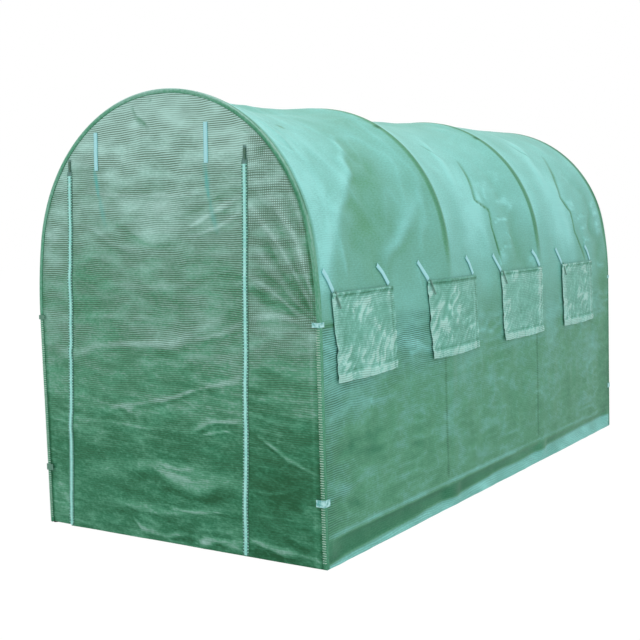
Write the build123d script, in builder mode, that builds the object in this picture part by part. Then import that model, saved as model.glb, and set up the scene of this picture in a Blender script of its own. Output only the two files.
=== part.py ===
from build123d import *

import os
from math import cos, radians, sin

os.makedirs("parts", exist_ok=True)

# Polytunnel greenhouse: steel tube hoops on straight legs, joined by purlins and
# ground rails, under a fitted woven cover with a roll-up door and side windows.
# Millimetres. The origin is the middle of the footprint on the ground, +Z is up
# and the doorway faces -Y.

# Overall size, over the cover
WIDTH = 1600
LENGTH = 3500
HEIGHT = 2000
EAVE = 1000
SHOULDER_ANGLE = 10.4
BAYS = 3

# Steel frame
TUBE = 25
TUBE_WALL = 1.0
FITTING_WALL = 2.0
SOCKET_WALL = 1.6
FIT = 0.3
SLEEVE_LENGTH = 100
SLEEVE_DROP = 90
CLAMP_GAP = 1.0
RAIL_HEIGHT = 130
RAIL_SOCKET = 45
FITTING_HEIGHT = 50
FOOT_HEIGHT = 22
FOOT_SOLE = 3

# Woven cover
CLOTH = 2.0
REST_GAP = 0.3
WELT = 8
ROOF_SAG = 26
WALL_SAG = 15
HOOP_BAND = 20
SKIRT_TOP = 112
SKIRT_FOLD = 48
SKIRT_TUCK = 26
SKIRT_TUCK_AT_HOOP = 0.2
HEM = 40
TAPE = 1.2
SEAM_END = 5

# Roll-up door, which hangs a little askew between its two zips: how far its
# corners lie in from the sides of the tunnel, and how far its top is under the crown
LINTEL = 280
DOOR_TOP_LEFT = 247
DOOR_TOP_RIGHT = 343
DOOR_FOOT_LEFT = 140
DOOR_FOOT_RIGHT = 415
SEAM_GAP = 0.5
ZIP_TAPE = 30
ZIP_COIL = 8
ZIP_RISE = 5
SLIDER = (14, 26)
PULL = (9, 34)
STRAP = 25
STRAP_RISE = 122
STRAP_DROP = 48
STRAP_INNER_DROP = 225
STRAP_FROM_ZIP = (172, 201)
STRAP_LEAN = (20, 22)

# Windows with an insect screen under a hanging flap: how far the middles of the
# first and the last are from the tunnel's ends, and how far they lie under the eave
WINDOWS = 4
WINDOW_FIRST = 390
WINDOW_LAST = 575
WINDOW_DROP = 65
FLAP_SIZE = (520, 370)
FLAP_MARGIN = 35
SCREEN = 1.0
TIE_WIDTH = 22
TIE_LENGTH = 130
TIE_LEAN = 40

# Clips that hold the cover round the corner tubes
CLIP_HEIGHTS = (275, EAVE)
CLIP_REACHES = (42, 36)
CLIP_WIDTHS = (30, 20)
CLIP_WALL = 2.0

# Places that follow from the sizes above
FITTING = TUBE / 2 + FIT + FITTING_WALL
SOCKET = TUBE / 2 + FIT + SOCKET_WALL
HOOP_INSET = CLOTH + REST_GAP + FITTING
FRONT = -LENGTH / 2 + WELT
HOOP_PITCH = (2 * -FRONT - 2 * HOOP_INSET) / BAYS
HOOPS = [FRONT + HOOP_INSET + HOOP_PITCH * number for number in range(BAYS + 1)]
LEG_X = WIDTH / 2 - HOOP_INSET
LEG_TOP = EAVE - SLEEVE_DROP
PURLIN_INSET = HOOP_INSET + TUBE + CLAMP_GAP
WINDOW_PITCH = (LENGTH - WINDOW_FIRST - WINDOW_LAST) / (WINDOWS - 1)
WINDOW_CENTRES = [
    (WINDOW_FIRST - LENGTH / 2 + WINDOW_PITCH * number, EAVE - WINDOW_DROP)
    for number in range(WINDOWS)
]
FLAP_LENGTH, FLAP_HEIGHT = FLAP_SIZE
DOOR_TOP = HEIGHT - LINTEL
DOOR_CORNERS = [
    (DOOR_TOP_LEFT - WIDTH / 2, DOOR_TOP),
    (WIDTH / 2 - DOOR_TOP_RIGHT, DOOR_TOP),
    (WIDTH / 2 - DOOR_FOOT_RIGHT, 0),
    (DOOR_FOOT_LEFT - WIDTH / 2, 0),
]
OUTER_FACE = Plane.XZ.offset(-FRONT)
INNER_FACE = Plane.XZ.offset(-FRONT - CLOTH)


def arch_radii(half_width, rise):
    """Radii of the side arcs and of the crown arc, which meet at the shoulder."""
    shoulder = radians(SHOULDER_ANGLE)
    spread = (rise - half_width) / (sin(shoulder) + cos(shoulder) - 1)
    crown_radius = half_width - spread * (1 - cos(shoulder))
    return crown_radius + spread, crown_radius


def arch_line(half_width, height, foot, foot_half_width):
    """One side up, over the crown and down the other side, as tangent arcs."""
    side_radius, crown_radius = arch_radii(half_width, height - EAVE)
    Line((-foot_half_width, foot), (-half_width, EAVE))
    CenterArc((side_radius - half_width, EAVE), side_radius, 180, -SHOULDER_ANGLE)
    CenterArc(
        (0, height - crown_radius), crown_radius,
        180 - SHOULDER_ANGLE, 2 * SHOULDER_ANGLE - 180,
    )
    CenterArc((half_width - side_radius, EAVE), side_radius, SHOULDER_ANGLE, -SHOULDER_ANGLE)
    Line((half_width, EAVE), (foot_half_width, foot))


def arch_face(y, inset, foot, wall_sag=0, roof_sag=0):
    """The closed outline under the cover, across the tunnel at one place."""
    half_width = WIDTH / 2 - inset
    with BuildSketch(Plane.XZ.offset(-y)) as section:
        with BuildLine():
            arch_line(half_width - wall_sag, HEIGHT - inset - roof_sag, foot, half_width)
            Line((half_width, foot), (-half_width, foot))
        make_face()
    return section.sketch


def bay_space(bay, inset):
    """The space under one bay of the cover, which sags between its two hoops."""
    start = HOOPS[bay] if bay else FRONT
    end = HOOPS[bay + 1] if bay + 1 < BAYS else -FRONT
    band_start = HOOPS[bay] + HOOP_BAND
    band_end = HOOPS[bay + 1] - HOOP_BAND
    near_face = arch_face(band_start, inset, SKIRT_TOP)
    middle_face = arch_face((band_start + band_end) / 2, inset, SKIRT_TOP, WALL_SAG, ROOF_SAG)
    far_face = arch_face(band_end, inset, SKIRT_TOP)
    with BuildPart() as space:
        loft([near_face, middle_face, far_face])
        extrude(near_face, amount=band_start - start)
        extrude(far_face, amount=band_end - end)
    return space.part


def wall_layer(depth, thickness):
    """A thin layer along the whole cover, a depth in from its outer face."""
    outer = [bay_space(bay, depth) for bay in range(BAYS)]
    inner = [bay_space(bay, depth + thickness) for bay in range(BAYS)]
    with BuildPart() as layer:
        add(outer)
        add(inner, mode=Mode.SUBTRACT)
    return layer.part


def bar(plane, radius, start, end, mode=Mode.ADD):
    """A round bar, or a bore, along the normal of a plane."""
    with BuildSketch(plane.offset(start)) as section:
        Circle(radius)
    extrude(section.sketch, amount=end - start, mode=mode)


def tube(plane, start, end):
    """A length of the frame's round tube along the normal of a plane."""
    with BuildSketch(plane.offset(start)) as section:
        Circle(TUBE / 2)
        Circle(TUBE / 2 - TUBE_WALL, mode=Mode.SUBTRACT)
    extrude(section.sketch, amount=end - start)


def strip_face(plane, top, foot, width):
    """A strip of tape with level ends, on a plane, from its top to its foot."""
    half = width / 2
    with BuildSketch(plane) as strip:
        with BuildLine():
            Polyline(
                (top[0] - half, top[1]), (top[0] + half, top[1]),
                (foot[0] + half, foot[1]), (foot[0] - half, foot[1]),
                close=True,
            )
        make_face()
    return strip.sketch


def skirt_face(y, side, tuck):
    """Section of the skirt at one place: it folds in under the rail and out to the ground."""
    outer = side * WIDTH / 2
    inner = outer - side * CLOTH
    pull = side * tuck
    with BuildSketch(Plane.XZ.offset(-y)) as section:
        with BuildLine():
            Polyline(
                (outer, SKIRT_TOP), (outer - pull, SKIRT_FOLD), (outer, 0),
                (inner, 0), (inner - pull, SKIRT_FOLD), (inner, SKIRT_TOP),
                close=True,
            )
        make_face()
    return section.sketch


def door_face(side_gap):
    """Outline of the doorway, or of the door, which has a gap at each side."""
    top_left, top_right, foot_right, foot_left = DOOR_CORNERS
    with BuildSketch(OUTER_FACE) as outline:
        with BuildLine():
            Polyline(
                (top_left[0] + side_gap, top_left[1]), (top_right[0] - side_gap, top_right[1]),
                (foot_right[0] - side_gap, foot_right[1]), (foot_left[0] + side_gap, foot_left[1]),
                close=True,
            )
        make_face()
    return outline.sketch


def finish(part, name):
    """Label a finished piece and write it to its own file."""
    part.label = name
    export_step(part, f"parts/{name}.step")


# Arches: one bent tube over each pair of legs
for number, hoop_y in enumerate(HOOPS, start=1):
    with BuildPart() as arch:
        with BuildLine(Plane.XZ.offset(-hoop_y)) as arch_path:
            arch_line(LEG_X, HEIGHT - HOOP_INSET, LEG_TOP, LEG_X)
        with BuildSketch(Plane(origin=(-LEG_X, hoop_y, LEG_TOP), z_dir=(0, 0, 1))):
            Circle(TUBE / 2)
        sweep(path=arch_path.wires()[0])
    finish(arch.part, f"arch_{number}")

# Legs, their feet and the sleeves that join them to the arches
for side, name in ((-1, "left_legs"), (1, "right_legs")):
    with BuildPart() as legs:
        for hoop_y in HOOPS:
            tube(Plane.XY.move(Location((side * LEG_X, hoop_y, 0))), FOOT_SOLE, LEG_TOP)
    finish(legs.part, name)

with BuildPart() as leg_feet:
    for side in (-1, 1):
        for hoop_y in HOOPS:
            ground = Plane.XY.move(Location((side * LEG_X, hoop_y, 0)))
            bar(ground, FITTING, 0, FOOT_HEIGHT)
            bar(ground, TUBE / 2 + FIT, FOOT_SOLE, FOOT_HEIGHT, Mode.SUBTRACT)
finish(leg_feet.part, "leg_feet")

with BuildPart() as arch_sleeves:
    for side in (-1, 1):
        for hoop_y in HOOPS:
            joint = Plane.XY.move(Location((side * LEG_X, hoop_y, LEG_TOP)))
            bar(joint, FITTING, -SLEEVE_LENGTH / 2, SLEEVE_LENGTH / 2)
            bar(joint, TUBE / 2 + FIT, -SLEEVE_LENGTH / 2, SLEEVE_LENGTH / 2, Mode.SUBTRACT)
finish(arch_sleeves.part, "arch_sleeves")

# Purlins: straight tubes along the tunnel, under the hoops
PURLIN_END = HOOPS[-1] + TUBE / 2
purlin_places = {
    "left_purlin": (PURLIN_INSET - WIDTH / 2, 0, EAVE),
    "right_purlin": (WIDTH / 2 - PURLIN_INSET, 0, EAVE),
    "ridge_purlin": (0, 0, HEIGHT - PURLIN_INSET),
}
for name, place in purlin_places.items():
    with BuildPart() as purlin:
        tube(Plane(origin=place, z_dir=(0, 1, 0)), -PURLIN_END, PURLIN_END)
    finish(purlin.part, name)

# Clamps: one block with two crossed bores, the hoop's above the purlin's
with BuildPart() as clamp:
    with BuildSketch(Plane.XY.offset(-TUBE - CLAMP_GAP - FITTING)):
        RectangleRounded(2 * FITTING, 2 * FITTING, FITTING / 4)
    extrude(amount=TUBE + CLAMP_GAP + 2 * FITTING)
    hoop_axis = Plane.YZ
    purlin_axis = Plane(origin=(0, 0, -TUBE - CLAMP_GAP), z_dir=(0, 1, 0))
    for axis in (hoop_axis, purlin_axis):
        bar(axis, TUBE / 2 + FIT, -FITTING, FITTING, Mode.SUBTRACT)

with BuildPart() as ridge_clamps:
    with Locations(*[(0, hoop_y, HEIGHT - HOOP_INSET) for hoop_y in HOOPS]):
        add(clamp.part)
finish(ridge_clamps.part, "ridge_clamps")

with BuildPart() as side_clamps:
    for side in (-1, 1):
        with Locations(*[Location((side * LEG_X, y, EAVE), (0, side * 90, 0)) for y in HOOPS]):
            add(clamp.part)
finish(side_clamps.part, "side_clamps")

# Ground rails: tubes from leg to leg along both sides and across the rear
for side, name in ((-1, "left_ground_rails"), (1, "right_ground_rails")):
    with BuildPart() as rails:
        for bay in range(BAYS):
            rail_line = Plane(origin=(side * LEG_X, 0, RAIL_HEIGHT), z_dir=(0, 1, 0))
            tube(rail_line, HOOPS[bay] + FITTING, HOOPS[bay + 1] - FITTING)
    finish(rails.part, name)

with BuildPart() as rear_ground_rail:
    rear_line = Plane(origin=(0, HOOPS[-1], RAIL_HEIGHT), z_dir=(1, 0, 0))
    tube(rear_line, FITTING - LEG_X, LEG_X - FITTING)
finish(rear_ground_rail.part, "rear_ground_rail")

# Fittings that carry the rails on the legs, with a socket for each rail
with BuildPart() as rail_fittings:
    sockets = []
    for side in (-1, 1):
        for number, hoop_y in enumerate(HOOPS):
            centre = (side * LEG_X, hoop_y, RAIL_HEIGHT)
            ways = []
            if number > 0:
                ways.append((0, -1, 0))
            if number < BAYS:
                ways.append((0, 1, 0))
            else:
                ways.append((-side, 0, 0))
            sockets.extend(Plane(origin=centre, z_dir=way) for way in ways)
            leg_axis = Plane(origin=centre, z_dir=(0, 0, 1))
            bar(leg_axis, FITTING, -FITTING_HEIGHT / 2, FITTING_HEIGHT / 2)
    for socket in sockets:
        bar(socket, SOCKET, 0, RAIL_SOCKET)
    for socket in sockets:
        bar(socket, TUBE / 2 + FIT, FITTING, RAIL_SOCKET, Mode.SUBTRACT)
    for side in (-1, 1):
        for hoop_y in HOOPS:
            leg_axis = Plane(origin=(side * LEG_X, hoop_y, RAIL_HEIGHT), z_dir=(0, 0, 1))
            bar(leg_axis, TUBE / 2 + FIT, -FITTING_HEIGHT / 2, FITTING_HEIGHT / 2, Mode.SUBTRACT)
finish(rail_fittings.part, "rail_fittings")

# Cover: one saddle-shaped sheet for each bay, with the windows cut through it
for bay in range(BAYS):
    outer_space = bay_space(bay, 0)
    inner_space = bay_space(bay, CLOTH)
    with BuildPart() as cover_bay:
        add(outer_space)
        add(inner_space, mode=Mode.SUBTRACT)
        with BuildSketch(Plane.YZ):
            with Locations(*WINDOW_CENTRES):
                Rectangle(FLAP_LENGTH - 2 * FLAP_MARGIN, FLAP_HEIGHT - 2 * FLAP_MARGIN)
        extrude(amount=WIDTH, both=True, mode=Mode.SUBTRACT)
    finish(cover_bay.part, f"cover_bay_{bay + 1}")

# Skirts: the foot of each wall tucks in under its rail and turns out on the ground
for side, name in ((-1, "left_skirt"), (1, "right_skirt")):
    with BuildPart() as skirt:
        for bay in range(BAYS):
            start = HOOPS[bay] + HOOP_BAND
            end = HOOPS[bay + 1] - HOOP_BAND
            near_face = skirt_face(start, side, SKIRT_TUCK_AT_HOOP)
            middle_face = skirt_face((start + end) / 2, side, SKIRT_TUCK)
            far_face = skirt_face(end, side, SKIRT_TUCK_AT_HOOP)
            loft([near_face, middle_face, far_face])
        for number, hoop_y in enumerate(HOOPS):
            start = FRONT if number == 0 else hoop_y - HOOP_BAND
            end = -FRONT if number == BAYS else hoop_y + HOOP_BAND
            extrude(skirt_face(start, side, 0), amount=start - end)
    finish(skirt.part, name)

# End panels: flat sheets inside the ends of the cover, the front one with the doorway
with BuildPart() as front_panel:
    extrude(arch_face(FRONT, CLOTH, 0), amount=-CLOTH)
    extrude(door_face(0), amount=-CLOTH, mode=Mode.SUBTRACT)
finish(front_panel.part, "front_panel")

with BuildPart() as rear_panel:
    extrude(arch_face(-FRONT, CLOTH, 0), amount=CLOTH)
finish(rear_panel.part, "rear_panel")

with BuildPart() as door_panel:
    extrude(door_face(SEAM_GAP), amount=-CLOTH)
finish(door_panel.part, "door_panel")

# Welts: the folded seams, blunt at their edges, that join the cover to its two end panels
for name, end_y in (("front_welt", FRONT - WELT / 2), ("rear_welt", WELT / 2 - FRONT)):
    with BuildPart() as welt:
        with BuildLine(Plane.XZ.offset(-end_y)) as welt_path:
            arch_line(WIDTH / 2 - WELT / 2, HEIGHT - WELT / 2, SEAM_END, WIDTH / 2 - WELT / 2)
        with BuildSketch(Plane(origin=(WELT / 2 - WIDTH / 2, end_y, SEAM_END), z_dir=(0, 0, 1))):
            fold = Rectangle(WELT, WELT)
            chamfer(fold.vertices(), WELT / 4)
        sweep(path=welt_path.wires()[0])
    finish(welt.part, name)

# Zips: a tape over each side seam of the door with its coil and slider
door_top_left, door_top_right, door_foot_right, door_foot_left = DOOR_CORNERS
zip_lines = {
    "left_zip": ((door_top_left[0], DOOR_TOP + ZIP_TAPE / 2), (door_foot_left[0], SEAM_END)),
    "right_zip": ((door_top_right[0], DOOR_TOP + ZIP_TAPE / 2), (door_foot_right[0], SEAM_END)),
}
for name, (zip_top, zip_foot) in zip_lines.items():
    with BuildPart() as door_zip:
        extrude(strip_face(OUTER_FACE, zip_top, zip_foot, ZIP_TAPE), amount=TAPE)
        extrude(strip_face(OUTER_FACE, zip_top, zip_foot, ZIP_COIL), amount=TAPE + ZIP_RISE / 2)
    finish(door_zip.part, name)

with BuildPart() as zip_sliders:
    for zip_top, zip_foot in zip_lines.values():
        with BuildSketch(OUTER_FACE.offset(TAPE + ZIP_RISE / 2)):
            with Locations((zip_top[0], zip_top[1] - SLIDER[1])):
                RectangleRounded(SLIDER[0], SLIDER[1], SLIDER[0] / 3)
            with Locations((zip_top[0], zip_top[1] - SLIDER[1] - PULL[1] / 2)):
                RectangleRounded(PULL[0], PULL[1], PULL[0] / 3)
        extrude(amount=ZIP_RISE / 2)
finish(zip_sliders.part, "zip_sliders")

# Straps that tie the rolled door, one half outside and one half inside
tie_places = (
    (door_top_left[0] + STRAP_FROM_ZIP[0], STRAP_LEAN[0]),
    (door_top_right[0] - STRAP_FROM_ZIP[1], STRAP_LEAN[1]),
)
tie_top_height = DOOR_TOP + STRAP_RISE
with BuildPart() as outer_door_straps:
    for tie_x, tie_lean in tie_places:
        tie_foot = (tie_x, DOOR_TOP - STRAP_DROP)
        extrude(strip_face(OUTER_FACE, (tie_x, tie_top_height), tie_foot, STRAP), amount=TAPE)
finish(outer_door_straps.part, "outer_door_straps")

with BuildPart() as inner_door_straps:
    for tie_x, tie_lean in tie_places:
        tie_foot = (tie_x + tie_lean, DOOR_TOP - STRAP_INNER_DROP)
        extrude(strip_face(INNER_FACE, (tie_x, tie_top_height), tie_foot, STRAP), amount=-TAPE)
finish(inner_door_straps.part, "inner_door_straps")

# Hems: the doubled feet of the end panels
with BuildPart() as front_hem:
    with BuildSketch(OUTER_FACE):
        with Locations((0, HEM / 2)):
            Rectangle(WIDTH - 2 * CLOTH - 2 * WELT, HEM)
    extrude(amount=TAPE)
    for zip_top, zip_foot in zip_lines.values():
        clear_strip = strip_face(OUTER_FACE, zip_top, zip_foot, ZIP_TAPE + 2 * SEAM_GAP)
        extrude(clear_strip, amount=TAPE, mode=Mode.SUBTRACT)
finish(front_hem.part, "front_hem")

with BuildPart() as rear_hem:
    with BuildSketch(Plane.XZ.offset(FRONT)):
        with Locations((0, HEM / 2)):
            Rectangle(WIDTH - 2 * CLOTH - 2 * WELT, HEM)
    extrude(amount=-TAPE)
finish(rear_hem.part, "rear_hem")

# Windows: a screen in each opening, a flap over it and two straps above the flap
screen_layer = wall_layer((CLOTH - SCREEN) / 2, SCREEN)
flap_layer = wall_layer(-REST_GAP - TAPE, TAPE)
first_tie = (-FLAP_LENGTH / 2, FLAP_HEIGHT / 2)
second_tie = (FLAP_LENGTH / 2 - FLAP_MARGIN, FLAP_HEIGHT / 2)
for side, wall in ((-1, "left"), (1, "right")):
    with BuildPart() as window_screens:
        add(screen_layer)
        with BuildSketch(Plane.YZ):
            with Locations(*WINDOW_CENTRES):
                Rectangle(FLAP_LENGTH - 2 * FLAP_MARGIN, FLAP_HEIGHT - 2 * FLAP_MARGIN)
        extrude(amount=side * WIDTH, mode=Mode.INTERSECT)
    finish(window_screens.part, f"{wall}_window_screens")

    with BuildPart() as window_flaps:
        add(flap_layer)
        with BuildSketch(Plane.YZ):
            with Locations(*WINDOW_CENTRES):
                Rectangle(FLAP_LENGTH, FLAP_HEIGHT)
        extrude(amount=side * WIDTH, mode=Mode.INTERSECT)
    finish(window_flaps.part, f"{wall}_window_flaps")

    with BuildPart() as window_straps:
        add(flap_layer)
        with BuildSketch(Plane.YZ):
            with Locations(*WINDOW_CENTRES):
                with Locations(first_tie, second_tie):
                    Rectangle(
                        TIE_WIDTH, TIE_LENGTH, rotation=TIE_LEAN, align=(Align.CENTER, Align.MIN)
                    )
                Rectangle(FLAP_LENGTH + TIE_WIDTH * 2, FLAP_HEIGHT + 2 * SEAM_GAP, mode=Mode.SUBTRACT)
        extrude(amount=side * WIDTH, mode=Mode.INTERSECT)
    finish(window_straps.part, f"{wall}_window_straps")

# Corner clips: bent strips that hook the cover round the corner of the frame
with BuildPart() as corner_clips:
    clip_x = WIDTH / 2 + REST_GAP + CLIP_WALL
    clip_y = LENGTH / 2 + REST_GAP + CLIP_WALL
    for clip_height, clip_reach, clip_width in zip(CLIP_HEIGHTS, CLIP_REACHES, CLIP_WIDTHS):
        with BuildSketch(Plane.XY.offset(clip_height - clip_width / 2)):
            Rectangle(2 * clip_x, 2 * clip_y)
            Rectangle(2 * (clip_x - CLIP_WALL), 2 * (clip_y - CLIP_WALL), mode=Mode.SUBTRACT)
            Rectangle(2 * (clip_x - clip_reach), 3 * clip_y, mode=Mode.SUBTRACT)
            Rectangle(3 * clip_x, 2 * (clip_y - clip_reach), mode=Mode.SUBTRACT)
        extrude(amount=clip_width)
finish(corner_clips.part, "corner_clips")
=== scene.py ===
from math import atan2, cos, pi, radians, sin

import bpy
import numpy as np
from mathutils import Matrix, Vector


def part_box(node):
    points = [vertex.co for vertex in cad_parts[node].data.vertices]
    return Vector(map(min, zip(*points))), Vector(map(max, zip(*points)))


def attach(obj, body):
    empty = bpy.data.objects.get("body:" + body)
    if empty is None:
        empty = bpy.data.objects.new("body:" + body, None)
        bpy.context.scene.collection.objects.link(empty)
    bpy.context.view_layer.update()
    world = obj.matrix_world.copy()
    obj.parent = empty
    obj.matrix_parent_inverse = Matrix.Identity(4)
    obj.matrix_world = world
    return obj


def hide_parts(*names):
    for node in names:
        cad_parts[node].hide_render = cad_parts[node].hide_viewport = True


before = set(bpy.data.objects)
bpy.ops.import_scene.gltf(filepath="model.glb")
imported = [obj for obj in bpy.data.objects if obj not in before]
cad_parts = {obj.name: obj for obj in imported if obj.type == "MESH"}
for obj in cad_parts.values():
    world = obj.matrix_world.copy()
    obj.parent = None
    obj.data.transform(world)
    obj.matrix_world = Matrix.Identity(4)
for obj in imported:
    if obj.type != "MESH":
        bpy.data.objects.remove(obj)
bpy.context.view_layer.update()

# Polytunnel greenhouse: a woven cover stretched over four steel hoops, with a zipped
# roll-up door and four screened windows a side. Metres, doorway towards -Y.
BODY = "root"

# Sizes and places of the tunnel, read from the frame
COVER_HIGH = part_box("cover_bay_1")[1]
HALF_WIDTH = COVER_HIGH.x
HEIGHT = COVER_HIGH.z
EAVE = sum(corner.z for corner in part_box("right_purlin")) / 2
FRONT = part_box("front_panel")[0].y
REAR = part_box("rear_panel")[1].y
HOOPS = [sum(corner.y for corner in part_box(f"arch_{number}")) / 2 for number in (1, 2, 3, 4)]
RAIL_HEIGHT = sum(corner.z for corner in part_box("rear_ground_rail")) / 2
WINDOWS = 4

# The arch of the cover: a side arc and a crown arc that meet at the shoulder
SHOULDER = radians(10.4)
SPREAD = (HEIGHT - EAVE - HALF_WIDTH) / (sin(SHOULDER) + cos(SHOULDER) - 1)
CROWN_RADIUS = HALF_WIDTH - SPREAD * (1 - cos(SHOULDER))
SIDE_RADIUS = CROWN_RADIUS + SPREAD
CROWN_ARC = CROWN_RADIUS * (pi / 2 - SHOULDER)
EAVE_ARC = CROWN_ARC + SIDE_RADIUS * SHOULDER
FOOT_ARC = EAVE_ARC + EAVE

# Cloth and what is sewn on it
CLOTH = 0.0012
SCRIM_PITCH = 0.0094
HOOP_STRIPE = 0.024
DOOR_TOP = 1.72
ZIP_LEFT = ((-0.553, 1.72), (-0.66, 0.0))
ZIP_RIGHT = ((0.457, 1.72), (0.385, 0.0))
ZIP_TAPE = 0.030
LEFT_STRIP_FOOT = 0.006
HEM = 0.040
DOOR_STRAP = 0.022
DOOR_STRAP_LENGTHS = (0.17, 0.347)
DOOR_STRAP_TOPS = ((-0.381, 1.842), (0.256, 1.842))
WINDOW_STRAP = (0.025, 0.125)
FLAP_TIE = (0.012, 0.083)
OPENING = (0.45, 0.30)
FLAP = (0.52, 0.37)
FLAP_STITCH = 0.236
FIRST_WINDOW = -1.36
WINDOW_PITCH = 0.845
WINDOW_HEIGHT = 0.935
WINDOW_CENTRES = [(FIRST_WINDOW + WINDOW_PITCH * number, WINDOW_HEIGHT) for number in range(WINDOWS)]

# Steps of the cloth grids
ROOF_STEP = 0.0155
FOOT_STEP = 0.0085
BAY_STEP = 0.0098
FRONT_ROW = 0.0072
FRONT_COLUMN = 0.0125
REAR_ROW = 0.013
REAR_COLUMN = 0.016
SCREEN_STEP = 0.018


def soft_step(value, start, end):
    """0 before the start, 1 after the end and a smooth change between them."""
    part = np.clip((value - start) / (end - start), 0, 1)
    return part * part * (3 - 2 * part)


def soft_fall(value, start, end):
    """1 before the start, 0 after the end and a smooth change between them."""
    return 1 - soft_step(value, start, end)


def bell(value, centre, width):
    """1 at the centre, falling smoothly to 0 within a few widths of it."""
    return np.exp(-(((value - centre) / width) ** 2))


# Factors that scatter the cells of the noise
CELL_TURNS = (127.1, 311.7)
SEED_TURN = 74.7
SCATTER = 43758.5453


def smooth_noise(a, b, seed):
    """Soft random relief between -1 and 1 over two coordinates, the same on each run."""
    cell_a = np.floor(a)
    cell_b = np.floor(b)
    part_a = a - cell_a
    part_b = b - cell_b
    ease_a = part_a * part_a * (3 - 2 * part_a)
    ease_b = part_b * part_b * (3 - 2 * part_b)

    def corner(step_a, step_b):
        angle = (cell_a + step_a) * CELL_TURNS[0] + (cell_b + step_b) * CELL_TURNS[1] + seed * SEED_TURN
        value = np.sin(angle) * SCATTER
        return 2 * (value - np.floor(value)) - 1

    low = corner(0, 0) * (1 - ease_a) + corner(1, 0) * ease_a
    high = corner(0, 1) * (1 - ease_a) + corner(1, 1) * ease_a
    return low * (1 - ease_b) + high * ease_b


def ridges(a, b, seed):
    """Thin sharp creases between 0 and 1, as stiff cloth has them."""
    relief = smooth_noise(a, b, seed) + 0.5 * smooth_noise(2.1 * a, 2.1 * b, seed + 3)
    return np.clip(1 - 1.6 * np.abs(relief), 0, 1) ** 2


def fold_line(a, b, points, width, seed):
    """A soft fold along its points: its lit crest and the shadow under it, from 0 to 1."""
    drift_a = a + 0.9 * width * smooth_noise(a * 6, b * 9, seed)
    drift_b = b + 0.9 * width * smooth_noise(a * 7 + 5, b * 8, seed + 1)
    nearest = np.full(np.shape(a), 9.0)
    signed = np.full(np.shape(a), 9.0)
    travel = np.zeros(np.shape(a))
    lengths = [np.hypot(end[0] - start[0], end[1] - start[1]) for start, end in zip(points, points[1:])]
    passed = 0.0
    for (start_a, start_b), (end_a, end_b), length in zip(points, points[1:], lengths):
        run_a = end_a - start_a
        run_b = end_b - start_b
        along = ((drift_a - start_a) * run_a + (drift_b - start_b) * run_b) / length**2
        along = np.clip(along, 0, 1)
        off_a = drift_a - start_a - along * run_a
        off_b = drift_b - start_b - along * run_b
        gap = np.hypot(off_a, off_b)
        closer = gap < nearest
        side = np.sign(run_a * off_b - run_b * off_a)
        signed = np.where(closer, gap * side, signed)
        travel = np.where(closer, (passed + along * length) / sum(lengths), travel)
        nearest = np.minimum(nearest, gap)
        passed += length
    breadth = width * (0.75 + 0.35 * smooth_noise(travel * 4, travel * 0, seed + 2))
    ends = soft_step(travel, -0.02, 0.22) * soft_fall(travel, 0.78, 1.02)
    force = (0.35 + 0.65 * ends) * (0.8 + 0.3 * smooth_noise(travel * 7, travel * 0, seed + 4))
    crest = bell(signed, 0, breadth) * force
    shadow = bell(signed, -1.7 * breadth, breadth) * force
    return crest, shadow


def arch_place(arc):
    """Across the tunnel: where the cover is at a length from the crown, and its facing."""
    side = np.sign(arc)
    run = np.abs(arc)
    on_side = run > CROWN_ARC
    turn = np.minimum(run, CROWN_ARC) / CROWN_RADIUS
    turn = turn + np.clip(run - CROWN_ARC, 0, EAVE_ARC - CROWN_ARC) / SIDE_RADIUS
    radius = np.where(on_side, SIDE_RADIUS, CROWN_RADIUS)
    centre_x = np.where(on_side, HALF_WIDTH - SIDE_RADIUS, 0)
    centre_z = np.where(on_side, EAVE, HEIGHT - CROWN_RADIUS)
    x = side * (centre_x + radius * np.sin(turn))
    z = centre_z + radius * np.cos(turn) - np.maximum(run - EAVE_ARC, 0)
    return x, z, side * np.sin(turn), np.cos(turn)


def arch_length(z):
    """Length from the crown down to a height, along the arch."""
    if z <= EAVE:
        return EAVE_ARC + EAVE - z
    angle = atan2(z - (HEIGHT - CROWN_RADIUS), np.sqrt(
        max(CROWN_RADIUS**2 - (z - HEIGHT + CROWN_RADIUS)**2, 0)))
    if angle >= SHOULDER:
        return CROWN_RADIUS * (pi / 2 - angle)
    return EAVE_ARC - SIDE_RADIUS * np.arcsin((z - EAVE) / SIDE_RADIUS)


def arc_span(centre_z, height):
    """Lengths from the crown to the top and to the foot of something on the wall."""
    return arch_length(centre_z + height / 2), arch_length(centre_z - height / 2)


def half_width_at(z):
    """Half the width of the tunnel at a height."""
    on_crown = HEIGHT - CROWN_RADIUS + CROWN_RADIUS * sin(SHOULDER)
    crown = np.sqrt(np.maximum(CROWN_RADIUS**2 - (z - HEIGHT + CROWN_RADIUS) ** 2, 0))
    rise = np.clip(z - EAVE, 0, on_crown)
    side = HALF_WIDTH - SIDE_RADIUS + np.sqrt(SIDE_RADIUS**2 - rise**2)
    return np.where(z > on_crown, crown, side)


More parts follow.
